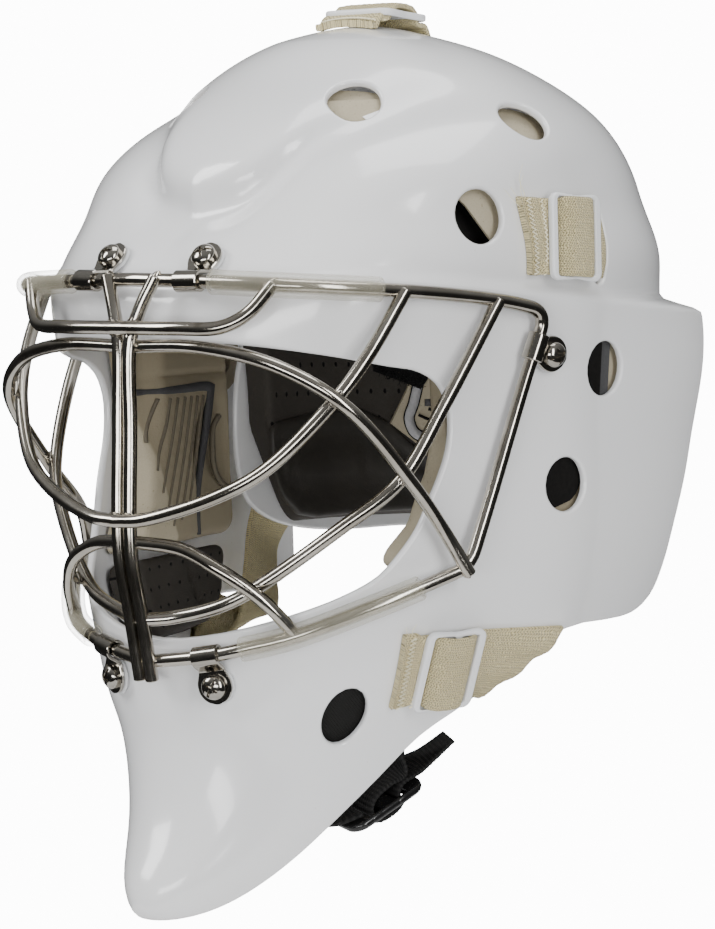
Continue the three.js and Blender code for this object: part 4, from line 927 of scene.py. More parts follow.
class StrapLine:
    """A run on the outer face: points over distance s along it and w across it, on the shell and
    on the flat seat of its buckle."""

    def __init__(self, frame_at):
        self.frame_at = frame_at
        half_along, half_across = BUCKLE_ALONG / 2, BUCKLE_ACROSS / 2
        self.along = unit(self.on(half_along, 0, 0) - self.on(-half_along, 0, 0))
        sideways = self.on(0, half_across, 0) - self.on(0, -half_across, 0)
        self.normal = unit(np.cross(self.along, sideways))
        self.across = np.cross(self.normal, self.along)
        origin = self.on(0, 0, 0)
        ends, edges = [-half_along, 0, half_along], [-half_across, 0, half_across]
        corners = self.on(np.repeat(ends, 3), np.tile(edges, 3), 0)
        self.origin = origin + self.normal * np.max((corners - origin) @ self.normal)

    def on(self, s, w, height, flared=True):
        point, normal = self.frame_at(s, w, flared)
        return point + normal * height

    def over_seat(self, s, w, height):
        w, height = (np.asarray(value, float)[..., None] for value in (w, height))
        return self.origin + self.along * s + self.across * w + self.normal * height


def buckled(line, run, w):
    """Rows of points from the tail's end to just behind the buckle, where the strap bulges."""
    rows = []
    for share in (1, 0.7, 0.35, 0):
        rows.append(line.on(-15.5 - share * (run["tail"] - 15.5 + run["slant"] * w), w, FLAT))
    for side, half in ((-1, THROUGH_BUCKLE), (1, THROUGH_BUCKLE[::-1])):
        for s, h in half:
            puff = smooth((h - FLAT - 1) / 3)
            bulge = 0.9 * puff * (1 - (w / 16) ** 4)
            rows.append(line.over_seat(side * s, w * (1 + 0.05 * puff), h + bulge))
    return rows


def through_slot(line, slot, length, w):
    heights = [(slot - 1.6, FLAT - 0.5), (slot, -1.5), (slot + 1.6, INSIDE + 0.6), (slot + 4.5, INSIDE)]
    rows = [line.on(s, w, h) for s, h in heights]
    return rows + [line.on(slot + share * length, w, ON_PLATE, False) for share in (0.6, 1)]


def lower_rows(w):
    """The lower strap folds over the slanting jaw edge and climbs inside to the back plate."""
    share = (np.asarray(w, float) / STRAP_WIDTH + 0.5)[..., None]

    def between(low, high):
        return np.asarray(low, float) + share * (np.asarray(high, float) - np.asarray(low, float))

    def rim(height, out):
        at = between((0, -23.5, -108.5), (0, 6, -86.5))
        point, normal = shell_frame(at[..., 1], at[..., 2])[:2]
        ruck = 0.8 * np.sin(17 * share + 0.9) - 2.2 * (2 * share - 1) ** 6
        return point + normal * height + np.array([0, 0.62, -0.78]) * (out + ruck)

    def on_plate(y, z):
        point, normal = shell_frame(y, z, False)[:2]
        return point + normal * ON_PLATE

    rows = [*buckled(lower_line, LOWER_RUN, w), rim(FLAT, 0), rim(-SHELL_WALL / 2, 2.2)]
    rows.append(rim(-SHELL_WALL - FLAT - 0.3, 0))
    rows += [between(low, high) for low, high in (
        ((63, 0, -94), (67, 27, -92)), ((68.5, 12, -75), (74, 37, -77)), ((76.5, 25, -56), (81, 48, -66)),
        (on_plate(38, -34), on_plate(60, -48)), (on_plate(50, -22), on_plate(72, -36)))]
    return rows


upper_line = StrapLine(lambda s, w, flared: run_frame(UPPER_RUN, s, w, flared))
lower_line = StrapLine(lambda s, w, flared: run_frame(LOWER_RUN, s, w, flared))
top_line = StrapLine(lambda s, w, flared: crown_frame(-np.asarray(w), TOP_RUN["y"] + s, flared))


def band(rows_at, width, thickness, relief=None, steps=5, samples=23):
    """Woven band through rows of points, rows_at(w) giving them at distances w across. relief(s, w)
    raises its upper face. Returns points, faces, surface coordinates and the middle line."""
    h, t = width / 2, thickness / 2
    flat = np.linspace(-h + 0.7, h - 0.7, samples)
    ring = [(w, t) for w in flat] + [(h - 0.2, 0.7 * t), (h, 0), (h - 0.2, -0.7 * t)]
    ring += [(w, -t) for w in flat[::-1]] + [(-h + 0.2, -0.7 * t), (-h, 0), (-h + 0.2, 0.7 * t)]
    w, offset = np.array(ring).T
    paths = [through(np.array(rows_at(w + d)), steps) for d in (0, 0.4, -0.4)]
    path = paths[0]
    along = np.gradient(path, axis=0)
    normal = unit(np.cross(along, paths[1] - paths[2]))
    middle = through(np.array(rows_at(np.zeros(1))), steps)[:, 0]
    s = np.concatenate([[0], np.cumsum(np.linalg.norm(np.diff(middle, axis=0), axis=1))])
    rise = np.broadcast_to(offset, path.shape[:2]).copy()
    if relief:
        rise = rise + relief(s[:, None], w[None]) * (offset > 0)
    points = path + normal * rise[..., None]
    n, m = path.shape[:2]
    faces = skin(n, m, turned=True)
    half = samples + 1
    for start, flip in ((0, False), ((n - 1) * m, True)):
        caps = [[start + j, start + j + 1, start + (m - 3 - j) % m, start + (m - 2 - j) % m]
                for j in range(half)]
        faces += [cap[::-1] if flip else cap for cap in caps if len(set(cap)) > 2]
    surface = np.stack([np.broadcast_to(s[:, None], (n, m)), np.broadcast_to(w, (n, m))], -1)
    return points.reshape(-1, 3), faces, surface.reshape(-1, 2), middle


def length_of(line):
    return np.sum(np.linalg.norm(np.diff(line, axis=0), axis=1))


def hemmed(s, w):
    """Double thickness of the hem, pressed in by two rows of stitching, and slight lumps."""
    hem = 0.7 * (1 - smooth((s - HEM) / 1.2))
    pressed = -0.55 * (np.exp(-((s - 1.3) / 0.8) ** 2) + np.exp(-((s - HEM + 0.3) / 0.7) ** 2))
    lumps = 0.12 * np.sin(s * 1.9 + 2 * np.sin(w * 0.7)) * np.sin(w * 1.6 + 1.3 * np.sin(s * 0.45))
    return hem + pressed + lumps


def knit(shade, at, pitch=0.85):
    """Rows of small slanted stitches with fuzz, in the strap's own length and width, with painted shade: the
    hollows between stitches are painted dark brown, the raised tops cream.
    """
    place = shade.surface()
    wobble = shade.noise(place, 420.0, 3.0)
    along = place.part(0) * (1000 / pitch) + wobble * 2.2
    across = place.part(1) * (1000 / pitch) + wobble * 1.6
    column = shade.math("PINGPONG", across, 1.0)
    loops = shade.math("ABSOLUTE", shade.math("SINE", (along + column * 0.7) * math.pi))
    crown = shade.math("SINE", column * math.pi)
    height = loops * 0.75 + crown * 0.45
    fuzz = shade.noise(at, 2600.0, 3.0)
    cloud = shade.noise(at, 45.0, 3.0)
    # Painted shade: the low parts of the stitches are painted dark brown, the raised parts cream.
    raised = (height + fuzz * 0.5).between(0.4, 1.3)
    colour = raised.mix((0.34, 0.265, 0.115), cloud.mix((0.83, 0.71, 0.37), (0.91, 0.80, 0.455)))
    return {"Base Color": colour, "Roughness": 0.85 + 0.1 * fuzz,
            "Normal": (height + fuzz * 0.7).bump(0.9, 0.0009)}


elastic = finish_of("cream elastic", knit, Sheen_Weight=0.25, Sheen_Roughness=0.5)
stitching = finish_of("stitching thread", mottled(
    (0.92, 0.84, 0.58), (0.98, 0.94, 0.76), 1800.0, 2.0, (1.0, 1.0, 3.0), bump=(0.4, 0.0001)), Roughness=0.8)


def zigzag(line, run, inset, reach):
    """Row of zigzag stitches across the hem, a distance in from its end."""
    w = np.arange(-STRAP_WIDTH / 2 + 0.7, STRAP_WIDTH / 2 - 0.6, 0.75)
    s = inset - run["tail"] - run["slant"] * w * (1 - inset / 12)
    s = s + reach * np.where(np.arange(len(w)) % 2, 1, -1)
    return tube(line.on(s, w, FLAT + STRAP_THICKNESS / 2 + 1.1), 0.34, 6, 0.05)


def loose_thread(line, rows):
    path = through([line.on(s, w, FLAT + h) for s, w, h in rows], 8)
    return tube(path, np.linspace(0.13, 0.06, len(path)), 5, 0.02)


def strap(name, line, run, rows_at, replaced, threads=(), both=True):
    points, faces, surface, middle = band(rows_at, STRAP_WIDTH, STRAP_THICKNESS, hemmed)
    sewing = [zigzag(line, run, 2.4, 0.9), zigzag(line, run, HEM - 0.9, 0.6)]
    sewing += [loose_thread(line, rows) for rows in threads]
    sewing = joined(sewing)
    for side, word in ((1, "_left"), (-1, "_right")) if both else ((1, ""),):
        woven, sewn = ((points, faces), sewing) if side > 0 else (mirrored((points, faces)), mirrored(sewing))
        piece = add_piece(f"elastic_{name}{word}", woven, elastic, [f"{replaced}{word}"],
                          surface)
        crisp(piece, 60)
        stitches = add_piece(f"stitches_{name}{word}", sewn, stitching)


strap("upper", upper_line, UPPER_RUN,
      lambda w: [*buckled(upper_line, UPPER_RUN, w), *through_slot(upper_line, UPPER_RUN["slot"], 30, w)],
      "strap_upper", [
          [(-20.5, 12, 0.6), (-21.5, 15, 0.8), (-24, 19, 1.6), (-22.5, 23.5, 2.6)],
          [(-20.8, 11.5, 0.5), (-23, 14, 1.1), (-23.6, 18, 1.8), (-21.7, 20.5, 1.5)],
          [(-21, 10.5, 0.4), (-24.5, 12.5, 0.9), (-28, 16, 1.5)],
          [(-21, 8, 0.3), (-25.5, 11, 0.6), (-30.5, 15.5, 0.9)]])
strap("lower", lower_line, LOWER_RUN, lower_rows, "strap_lower", [
    [(-17.5, 12.8, 0.6), (-18, 15, 1.0), (-17.2, 17, 1.4)],
    [(-18, 12.5, 0.5), (-20, 14.2, 0.9), (-20.5, 16, 1)]])
strap("top", top_line, TOP_RUN,
      lambda w: [*buckled(top_line, TOP_RUN, w), *through_slot(top_line, TOP_RUN["slot"], 28, w)],
      "strap_top", both=False)

# ---- strap buckles ---------------------------------------------------------------------------
# White plastic slides, moulded in one piece: a rectangular frame with slightly waisted ends and a
# bar across the middle, over which the elastic passes.


def flat_plate(outlines, thickness, bevel):
    """Points and faces of a plate with holes and rounded edges, centred on z = 0."""
    curve = bpy.data.curves.new("outline", "CURVE")
    curve.dimensions, curve.fill_mode = "2D", "BOTH"
    curve.extrude, curve.bevel_depth, curve.bevel_resolution = thickness / 2 - bevel, bevel, 3
    for outline in outlines:
        spline = curve.splines.new("POLY")
        spline.points.add(len(outline) - 1)
        spline.points.foreach_set("co", np.array([(x, y, 0, 1) for x, y in outline], float).ravel())
        spline.use_cyclic_u = True
    holder = bpy.data.objects.new("outline", curve)
    mesh = bpy.data.meshes.new_from_object(holder)
    points = np.array([vertex.co for vertex in mesh.vertices])
    faces = [list(polygon.vertices) for polygon in mesh.polygons]
    bpy.data.objects.remove(holder)
    bpy.data.curves.remove(curve)
    bpy.data.meshes.remove(mesh)
    return points, faces


def rounded_box(centre, width, height, radius, waist=0.0, facets=6):
    """Closed outline of a rectangle with round corners, whose short ends draw in by waist."""
    points = []
    for corner, (i, j) in enumerate(((1, -1), (1, 1), (-1, 1), (-1, -1))):
        for k in range(facets + 1):
            angle = math.pi / 2 * (corner - 1 + k / facets)
            points.append((i * (width / 2 - radius) + radius * math.cos(angle),
                           j * (height / 2 - radius) + radius * math.sin(angle)))
        if waist and corner in (1, 3):
            flat = width / 2 - radius
            for x in np.linspace(0.75, -0.75, 13) * flat * i:
                drawn_in = waist * 0.5 * (1 + math.cos(math.pi * x / flat))
                points.append((x, j * (height / 2 - drawn_in)))
    return [(centre + x, y) for x, y in points]


def buckle():
    bar, bevel = 1.6, 0.85
    slot = BUCKLE_ALONG / 2 - BUCKLE_RAIL - bar
    outlines = [rounded_box(0, BUCKLE_ALONG - 2 * bevel, BUCKLE_ACROSS - 2 * bevel, 3.5 - bevel, 0.7)]
    across = BUCKLE_ACROSS - 2 * BUCKLE_END + 2 * bevel - 1.0
    outlines += [rounded_box(side * (bar + slot / 2), slot + 2 * bevel - 0.6, across, 1.4)
                 for side in (-1, 1)]
    points, faces = flat_plate(outlines, BUCKLE_THICKNESS, bevel)
    return points + [0, 0, BUCKLE_THICKNESS / 2], faces


def white_plastic(shade, at):
    cloud = shade.noise(at, 60.0, 2.0)
    return {"Base Color": cloud.mix((0.80, 0.81, 0.83), (0.85, 0.86, 0.87)),
            "Roughness": 0.28 + 0.1 * cloud, "Normal": shade.noise(at, 500.0, 2.0).bump(0.05, 0.0002)}


buckle_white = finish_of("buckle white", white_plastic, Subsurface_Weight=0.08,
                         Subsurface_Radius=(0.002, 0.002, 0.002))
BOTH_SIDES = ("_left", "_right")
for name, line, words in (("upper", upper_line, BOTH_SIDES), ("lower", lower_line, BOTH_SIDES),
                          ("top", top_line, ("",))):
    axes, base = np.array([line.along, line.across, line.normal]), line.over_seat(0, 0.0, RAIL_BASE)
    for side, word in zip((1, -1), words):
        crisp(add_piece(f"slide_{name}{word}", placed(buckle(), axes, base, side), buckle_white,
                        [f"buckle_{name}{word}"]), 40)

# ---- foam lining -----------------------------------------------------------------------------
# Die-cut foam pads glued inside the wall: beige at the forehead, crown and temples, black at the
# jaw, chin and back of the head. Their edges are square at the wall and rounded towards the head.
LINING_INSET = SHELL_WALL + 0.5
PLATE_LINING_INSET = PLATE_INSET + PLATE_WALL + 1.3


def graded(length, spacing, edge=3.2):
    """Places from 0 to a length, close together near both ends."""
    ends = np.array([0, 0.06, 0.2, 0.42, 0.7]) * edge
    inner = np.linspace(edge, length - edge, max(2, int(length / spacing)))
    return np.concatenate([ends, inner, length - ends[::-1]])


def cushion(rows, inset, thick, spacing=2.4, flared=True, by_angle=False, face=None, edge=3.2, corner=7.0):
    """Foam slab inside the wall with a rounded inner face. rows holds a row and the angles between
    which the pad lies there, or, by_angle, an angle and the rows. face(p, d) raises the inner face
    at points p a distance d from the edge. Returns points, faces and surface coordinates."""
    key, low, high = np.asarray(rows, float).T

    def place(k, t):
        """Row and angle a share t of the way across at key k."""
        other = np.interp(k, key, low) + t * (np.interp(k, key, high) - np.interp(k, key, low))
        return (other, k) if by_angle else (k, other)

    shares, half, stations = np.linspace(0, 1, 40), np.full(40, 0.5), np.linspace(0, 1, len(key))
    long = length_of(form_point(*place(np.interp(shares, stations, key), half), flared))
    wide = length_of(form_point(*place(np.interp(half, stations, key), shares), flared))
    u, t = np.meshgrid(graded(long, spacing, edge), graded(wide, spacing, edge), indexing="ij")
    du, dt = np.minimum(u, long - u), np.minimum(t, wide - t)
    x, y = (np.clip(corner - d, 0, corner) / corner for d in (du, dt))
    round_x, round_y = x * np.sqrt(1 - y * y / 2), y * np.sqrt(1 - x * x / 2)
    new_du = np.where(x > 0, corner * (1 - round_x), du)
    new_dt = np.where(y > 0, corner * (1 - round_y), dt)
    d = np.where((x > 0) & (y > 0), corner * (1 - np.hypot(round_x, round_y)), np.minimum(new_du, new_dt))
    u = np.where(u < long / 2, new_du, long - new_du) / long
    t = np.where(t < wide / 2, new_dt, wide - new_dt) / wide
    v, a = place(key[0] + u * (key[-1] - key[0]), t)
    point, normal = form_point(v, a, flared), form_normal(v, a, flared)
    fall = edge - np.sqrt(np.maximum(edge**2 - (edge - np.minimum(d, edge)) ** 2, 0))
    inner = point - normal * (inset + thick - fall)[..., None]
    if face:
        inner = inner - normal * face(inner, d)[..., None]
    outer = point - normal * inset
    n, m = d.shape
    size = n * m
    faces = []
    for i in range(n - 1):
        for j in range(m - 1):
            a0, a1, a2, a3 = i * m + j, i * m + j + 1, (i + 1) * m + j + 1, (i + 1) * m + j
            faces += [[a0, a1, a2, a3], [size + a3, size + a2, size + a1, size + a0]]
    border = [i * m for i in range(n - 1, 0, -1)] + list(range(m - 1))
    border += [i * m + m - 1 for i in range(n - 1)] + [(n - 1) * m + j for j in range(m - 1, 0, -1)]
    for p, q in zip(border, border[1:] + border[:1]):
        faces.append([p, size + p, size + q, q][::-1])
    if by_angle:
        faces = [face[::-1] for face in faces]
    surface = np.stack([t * wide, u * long], -1).reshape(-1, 2)
    return (np.concatenate([outer.reshape(-1, 3), inner.reshape(-1, 3)]), faces,
            np.concatenate([surface, surface]))


def foam(light, dark, pores=0.5):
    lighter = tuple(c * 1.15 for c in light)

    def paint(shade, at):
        cells = shade.noise(at, 1500.0, 2.0)
        cloud = shade.noise(at, 30.0, 3.0)
        pits = shade.noise(at, 900.0, 1.0).between(0.68, 0.74)
        return {
            # Painted shade: the pits, sunk by the bump, are painted towards the dark colour; the cells vary
            # the tone at random.
            "Base Color": (cells * 0.35 + pits * pores).mix(cloud.mix(light, lighter), dark),
            "Roughness": 0.75 + 0.2 * cells,
            "Normal": (cells - pits).bump(0.3, 0.0003),
        }
    return paint


def foam_with_painted_shade(shade, at):
    """Beige foam with painted shade: the face behind its light front edge, turned away from the light, is
    painted darker olive.
    """
    y, z = (at.part(axis) for axis in (1, 2))
    # Painted shade: behind this line the inner face is painted dark olive, standing in for the shade it lies
    # in.
    inside = (y * 1000 + z * 326).between(-52.5, -50.5)
    made = foam((0.46, 0.41, 0.30), (0.26, 0.22, 0.145))(shade, at)
    cloud = shade.noise(at, 22.0, 3.0)
    shaded = cloud.mix((0.20, 0.165, 0.105), (0.30, 0.26, 0.18))
    made["Base Color"] = (inside * 0.9).mix(made["Base Color"], shaded)
    return made


def perforated(shade, at, across=7.6, rows=8.4):
    """Dark cloth-faced foam, punched with staggered rows of small holes, which are painted near black as
    painted shade.
    """
    place = shade.surface()
    u, v = (place.part(axis) for axis in (0, 1))
    row = v * (1000 / rows)
    shift = shade.math("MODULO", shade.math("FLOOR", row), 2.0) * 0.5
    du = (shade.math("FRACT", u * (1000 / across) + shift) - 0.5) * across
    dv = (shade.math("FRACT", row) - 0.5) * rows
    hole = 1 - shade.math("SQRT", du * du + dv * dv).between(0.55, 0.95)
    weave = shade.noise(at, 1700.0, 2.0)
    cloud = shade.noise(at, 26.0, 3.0)
    cloth = (weave * 0.6 + cloud * 0.4).mix((0.030, 0.027, 0.023), (0.066, 0.060, 0.052))
    # Painted shade: the holes are painted near black where the real holes lie in shade.
    return {"Base Color": hole.mix(cloth, (0.004, 0.004, 0.004)), "Roughness": 0.6 + 0.3 * weave,
            "Normal": (weave * 0.25 - hole).bump(0.6, 0.0008)}


def smooth_hide(shade, at):
    grain = shade.noise(at, 1100.0, 3.0)
    sheen = shade.noise(at, 35.0, 3.0)
    return {"Base Color": sheen.mix((0.020, 0.018, 0.015), (0.040, 0.036, 0.030)),
            "Roughness": 0.38 + 0.18 * grain + 0.15 * sheen, "Normal": grain.bump(0.25, 0.0002)}


beige_foam = finish_of("beige foam", foam((0.42, 0.375, 0.275), (0.24, 0.20, 0.13)))
black_foam = finish_of("black foam", perforated, Specular_IOR_Level=0.2)
temple_foam_painted_shade = finish_of("temple foam with painted shade", foam_with_painted_shade)
hide = finish_of("smooth black facing", smooth_hide)
# Charcoal: the real print on the temple pads, and painted shade in the strip behind the rear vent.
charcoal = finish_of("charcoal print and painted shade", foam((0.052, 0.052, 0.054), (0.03, 0.03, 0.03), 0.1))
olive = finish_of("olive rib", foam((0.13, 0.112, 0.078), (0.08, 0.068, 0.046), 0.1))


def pad_piece(name, made, material, replaced=(), paired=False):
    *geometry, surface = made
    if paired:
        pieces = add_pair(name, geometry, material, replaced, surface)
    else:
        pieces = [add_piece(name, geometry, material, replaced, surface)]
    for piece in pieces:
        crisp(piece, 55)


def seams(*angles):
    """Moulded grooves up and down the face at the given angles from the front."""
    def face(p, d):
        angle = np.degrees(np.arctan2(np.abs(p[..., 0]), -p[..., 1]))
        return -1.6 * sum(np.exp(-((angle - a) / 1.1) ** 2) for a in angles) * smooth(d / 5)
    return face


pad_piece("forehead_foam", cushion([[9.55, -54, 54], [11.3, -54, 54]], LINING_INSET, 9, face=seams(18, 38)),
          beige_foam, ["forehead_pad"])
pad_piece("crown_foam", cushion([[12, -54, 54], [13.6, -54, 54]], LINING_INSET, 9, face=seams(0, 30)),
          beige_foam, ["crown_pad"])
TEMPLE = [[6.92, 43, 96], [7.3, 52, 96], [7.75, 56, 96], [9.2, 56, 96]]


def temple_recess(y, z):
    """How much thinner the pad is towards its upper front edge."""
    return 7 * smooth((-36 - y) / 10) * smooth((z + 40) / 34)


def temple_face(p, d):
    """Level groove below the brow piece, a shallow hollow over the ear and the thin upper front."""
    groove = -1.8 * np.exp(-((p[..., 2] - 1.5) / 0.9) ** 2)
    ear = -4.0 * np.exp(-(((p[..., 1] - 1) / 13) ** 2 + ((p[..., 2] + 29) / 17) ** 2) ** 2)
    return (groove + ear) * smooth(d / 4) - temple_recess(p[..., 1], p[..., 2])


# The temple pads carry painted shade: the face behind their front edge is painted dark olive.
pad_piece("temple_foam", cushion(TEMPLE, LINING_INSET + 1.3, 16, 1.8, face=temple_face), temple_foam_painted_shade,
          ["temple_pad"], paired=True)
JAW = [[6.08, 46, 77], [6.38, 44, 87], [6.82, 42, 94]]
pad_piece("jaw_foam", cushion(JAW, LINING_INSET + 1.6, 13, face=seams(70)), black_foam,
          ["jaw_pad"], paired=True)
pad_piece("chin_foam", cushion([[5, -42, 42], [5.9, -42, 42]], LINING_INSET + 1.3, 10), black_foam,
          ["chin_pad"])
pad_piece("back_foam", cushion([[7, 114, 246], [8, 102, 258], [12, 102, 258]], PLATE_LINING_INSET, 11, 3,
                               flared=False, face=seams(180)), black_foam, ["back_pad"])


def facing(p, d):
    """Border groove and a tongue-shaped ridge in each half of the lower facing."""
    angle = 180 - np.abs(np.degrees(np.arctan2(p[..., 0], -p[..., 1])))
    border = -0.8 * np.exp(-((d - 6) / 0.9) ** 2)
    arch = np.hypot((angle - 50) / 12, np.minimum(0, -(p[..., 2] + 34)) / 11)
    ridge = 0.7 * np.exp(-((arch - 1) / 0.09) ** 2) * smooth((d - 6) / 3)
    return border - ridge + 0.5 * smooth((d - 6.5) / 2)


# Angles from the front, with the facing's lowest and highest row at each, up to the middle.
FACING = [[102, 7.5, 8.05], [106, 7.25, 8.07], [112, 7.05, 8.1], [119, 7.0, 8.14], [133, 7.0, 8.16],
          [141, 7.0, 8.0], [148, 7.0, 7.72], [157, 7.0, 7.5]]
FACING += [[360 - angle, low, high] for angle, low, high in reversed(FACING)]
pad_piece("back_foam_facing", cushion(
    FACING, PLATE_LINING_INSET + 9.6, 2.6, 2.2, flared=False, by_angle=True, face=facing, edge=1.2, corner=5),
          hide)

# ---- temple pad print ------------------------------------------------------------------------
# Thin strips moulded on the inner face of each temple pad: a charcoal frame across its top and down
# its rear, seven slanting olive ribs inside the frame and one curved rib behind it.


def on_temple(rows, lift=0.15, depth=LINING_INSET + 17.3):
    rows = np.asarray(rows, float)
    point, normal = shell_frame(rows[:, 0], rows[:, 1])[:2]
    face = point - normal * depth
    return face + normal * (temple_recess(face[:, 1], face[:, 2]) - lift)[:, None], normal


def flat_strip(rows, widths, thickness=0.5, on=on_temple):
    """Thin raised strip along places on the temple pad, or on another face."""
    rows = through(rows, 8)
    path, normal = on(rows)
    along = unit(np.gradient(path, axis=0))
    side = np.cross(normal, along)
    widths = np.interp(np.linspace(0, 1, len(path)), np.linspace(0, 1, len(widths)), widths)
    points = []
    for p, n, q, w in zip(path, normal, side, widths):
        points += [p + q * w / 2 + n, p - q * w / 2 + n]
        points += [p - q * w / 2 - n * thickness, p + q * w / 2 - n * thickness]
    last = 4 * (len(path) - 1)
    ends = [[3, 2, 1, 0], [last, last + 1, last + 2, last + 3]]
    return np.array(points), skin(len(path), 4) + ends, np.zeros((len(points), 3))


border = [flat_strip([[-52, -4], [-30, -3.5], [-8, -3.5], [-4, -4.5]], [2.4, 3.4, 4.2]),
          flat_strip([[-4.5, -2.5], [-7.5, -13], [-14, -30], [-19, -44], [-22, -62]],
                     [4.4, 4.2, 3.4, 2.4, 1.4])]
ridges = [flat_strip([[3, -14.5], [-2.6, -19], [-3.4, -26], [-2, -35], [3, -41], [9, -44]], [1.6, 2.2, 1.6])]
for k in range(7):
    top, down = -12.5 - 5.2 * k, (42, 48, 50, 44, 36, 27, 16)[k]
    ridges.append(flat_strip([[top, -6.5], [top - 0.16 * down, -6.5 - 0.5 * down],
                              [top - 0.36 * down, -6.5 - down]], [1.3, 1.1, 0.7]))
for name, parts, material in (("frame", border, charcoal), ("ridges", ridges, olive)):
    add_pair(f"temple_{name}", joined(parts)[:2], material)

# ---- lining and painted shade seen through the vents -----------------------------------------
# Thin patches of foam and mesh glued inside the wall, and near-black sheets of painted shade, each
# visible only through a vent. They are given by outlines in side view, as rearward and upward places, and by
# their depth.


def in_wall(ring):
    return shell_frame(ring[..., 0], ring[..., 1])[:2]


def lining_patch(outline, depth, thickness, on=in_wall, rings=5):
    """Plate that follows a face inside its outline; its near side lies a depth below that face."""
    outline = np.asarray(outline, float)
    centre = outline.mean(0)
    shrunk = [centre + (outline - centre) * k / rings for k in range(rings, 0, -1)]
    grid = np.concatenate([*shrunk, centre[None]])
    point, normal = on(grid)
    n, size = len(outline), len(grid)
    faces = []
    for i in range(n):
        j = (i + 1) % n
        faces.append([i, size + i, size + j, j])
        for k in range(rings - 1):
            a, b, c, d = k * n + i, k * n + j, (k + 1) * n + j, (k + 1) * n + i
            faces += [[a, b, c, d], [size + d, size + c, size + b, size + a]]
        a, b = (rings - 1) * n + i, (rings - 1) * n + j
        faces += [[a, b, size - 1], [size + b, size + a, 2 * size - 1]]
    return np.concatenate([point - normal * depth, point - normal * (depth + thickness)]), faces


def oval(y, z, across, tall, first=0, last=360, steps=28):
    turns = np.radians(np.linspace(first, last, steps, endpoint=last - first < 360))
    return np.stack([y + across * np.cos(turns), z + tall * np.sin(turns)], 1)


def patch(name, outline, depth, thickness, material, on=in_wall):
    for piece in add_pair(name, lining_patch(outline, depth, thickness, on), material):
        crisp(piece, 30)


def black_mesh(shade, at):
    y, z = (at.part(axis) * 950.0 for axis in (1, 2))
    threads = [shade.math("PINGPONG", v, 0.5) * 2 for v in (y + z, y - z)]
    open_cell = threads[0].between(0.35, 0.6) * threads[1].between(0.35, 0.6)
    return {"Base Color": open_cell.mix((0.014, 0.014, 0.013), (0.0015, 0.0015, 0.0015)),
            "Normal": (1 - open_cell).bump(0.8, 0.0005)}


mesh_black = finish_of("black mesh", black_mesh, Roughness=0.7, Specular_IOR_Level=0.15)
# Near black, used for painted shade (the sheets behind three vents and the slits on the rear panels) and for
# the real black outline of the rear panels' print.
black_print_and_painted_shade = finish_of("black print and painted shade", mottled((0.004, 0.004, 0.004), (0.012, 0.011, 0.010), 700.0),
                    Roughness=0.8, Specular_IOR_Level=0.1)
# Name, side-view outline, gap behind the wall, thickness, material and slot.
PATCHES = (
    ("vent_mesh_jaw", oval(-74, -111, 14, 14), 0.4, 0.6, mesh_black, "black_foam"),
    # The three near-black patches are painted shade inside the vents, not lining.
    ("vent_painted_shade_ear", [*oval(0, -28, 10.5, 13, -70, 200), (-14, -36), (-5, -42.5)], 0.5, 0.6, black_print_and_painted_shade,
     "black_foam"),
    ("vent_foam_side", [(-46, 76), (-24, 76), (-24, 41.4), (-32.6, 50.8), (-43.2, 64.6), (-51, 75)], 3, 1,
     beige_foam, "beige_foam"),
    ("vent_painted_shade_side", oval(-40, 60, 15, 17), 11, 0.6, black_print_and_painted_shade, "black_foam"),
    ("vent_painted_shade_rear", [(8, -8), (20.8, -8), (20.8, 20), (8, 20)], 0.5, 0.6, black_print_and_painted_shade, "black_foam"),
    # Painted shade: a charcoal strip standing in for the white back plate in shade behind the rear vent.
    ("vent_shade_strip_rear", [(20.8, -8), (25.4, -8), (25.4, 20), (20.8, 20)], 0.6, 0.5, charcoal, "black_foam"),
    ("vent_foam_rear", oval(-3, 93, 16, 10), 3, 5, beige_foam, "beige_foam"),
    ("vent_foam_crown", oval(-48, 100, 14, 9), 2, 5, beige_foam, "beige_foam"),
    ("vent_tape_crown", [(-50.5, 95.4), (-41.8, 98.8), (-42.2, 100.4), (-50.9, 97)], 0.1, 0.3, shell_white,
     "shell_white"),
)
for name, outline, gap, thickness, material, slot in PATCHES:
    patch(name, outline, SHELL_WALL + gap, thickness, material)
ring = flat_strip(oval(18, 6, 12, 10.5, 100, -100, 12), [6], 2.5,
                  lambda rows: on_temple(rows, 0, SHELL_WALL + 3))
for piece in add_pair("vent_ring", ring[:2], beige_foam):
    crisp(piece, 30)

# ---- rear lining panels ----------------------------------------------------------------------
# Beige foam panels at the sides of the back pad, each with a grey strap print outlined in black, two slits
# painted as near-black strips of painted shade, and a patch of black hook tape with loose hooks along its
# edge.
PANEL_DEPTH = PLATE_LINING_INSET + 12.2


def on_back(rows, lift=0.0):
    rows = np.asarray(rows, float)
    v, a = rows[..., 0], rows[..., 1]
    normal = form_normal(v, a, False)
    return form_point(v, a, False) - normal * (PANEL_DEPTH + lift), normal


grey = finish_of("grey print", mottled((0.33, 0.33, 0.34), (0.50, 0.50, 0.51), 700.0, bump=(0.3, 0.0003)),
                 Roughness=0.7)
pile = mottled((0.002, 0.002, 0.002), (0.012, 0.012, 0.012), 1500.0, 4.0, bump=(1.0, 0.0012))
tape = finish_of("hook tape", pile, Roughness=0.85, Specular_IOR_Level=0.2)
PANEL = [(7.97, 218.5), (8.37, 213.1), (8.66, 211.3), (8.8, 199), (7.65, 200.6), (7.7, 210.1)]
patch("rear_panel", PANEL, -0.4, 2, beige_foam, on_back)
PRINT = [(8.5, 209.3), (8.2, 211.6), (8.02, 213.2), (7.9, 212.4), (7.78, 208.4), (7.74, 206)]


def printed(rows, width, lift):
    return flat_strip(rows, [width], 0.3, lambda places: on_back(places, lift))


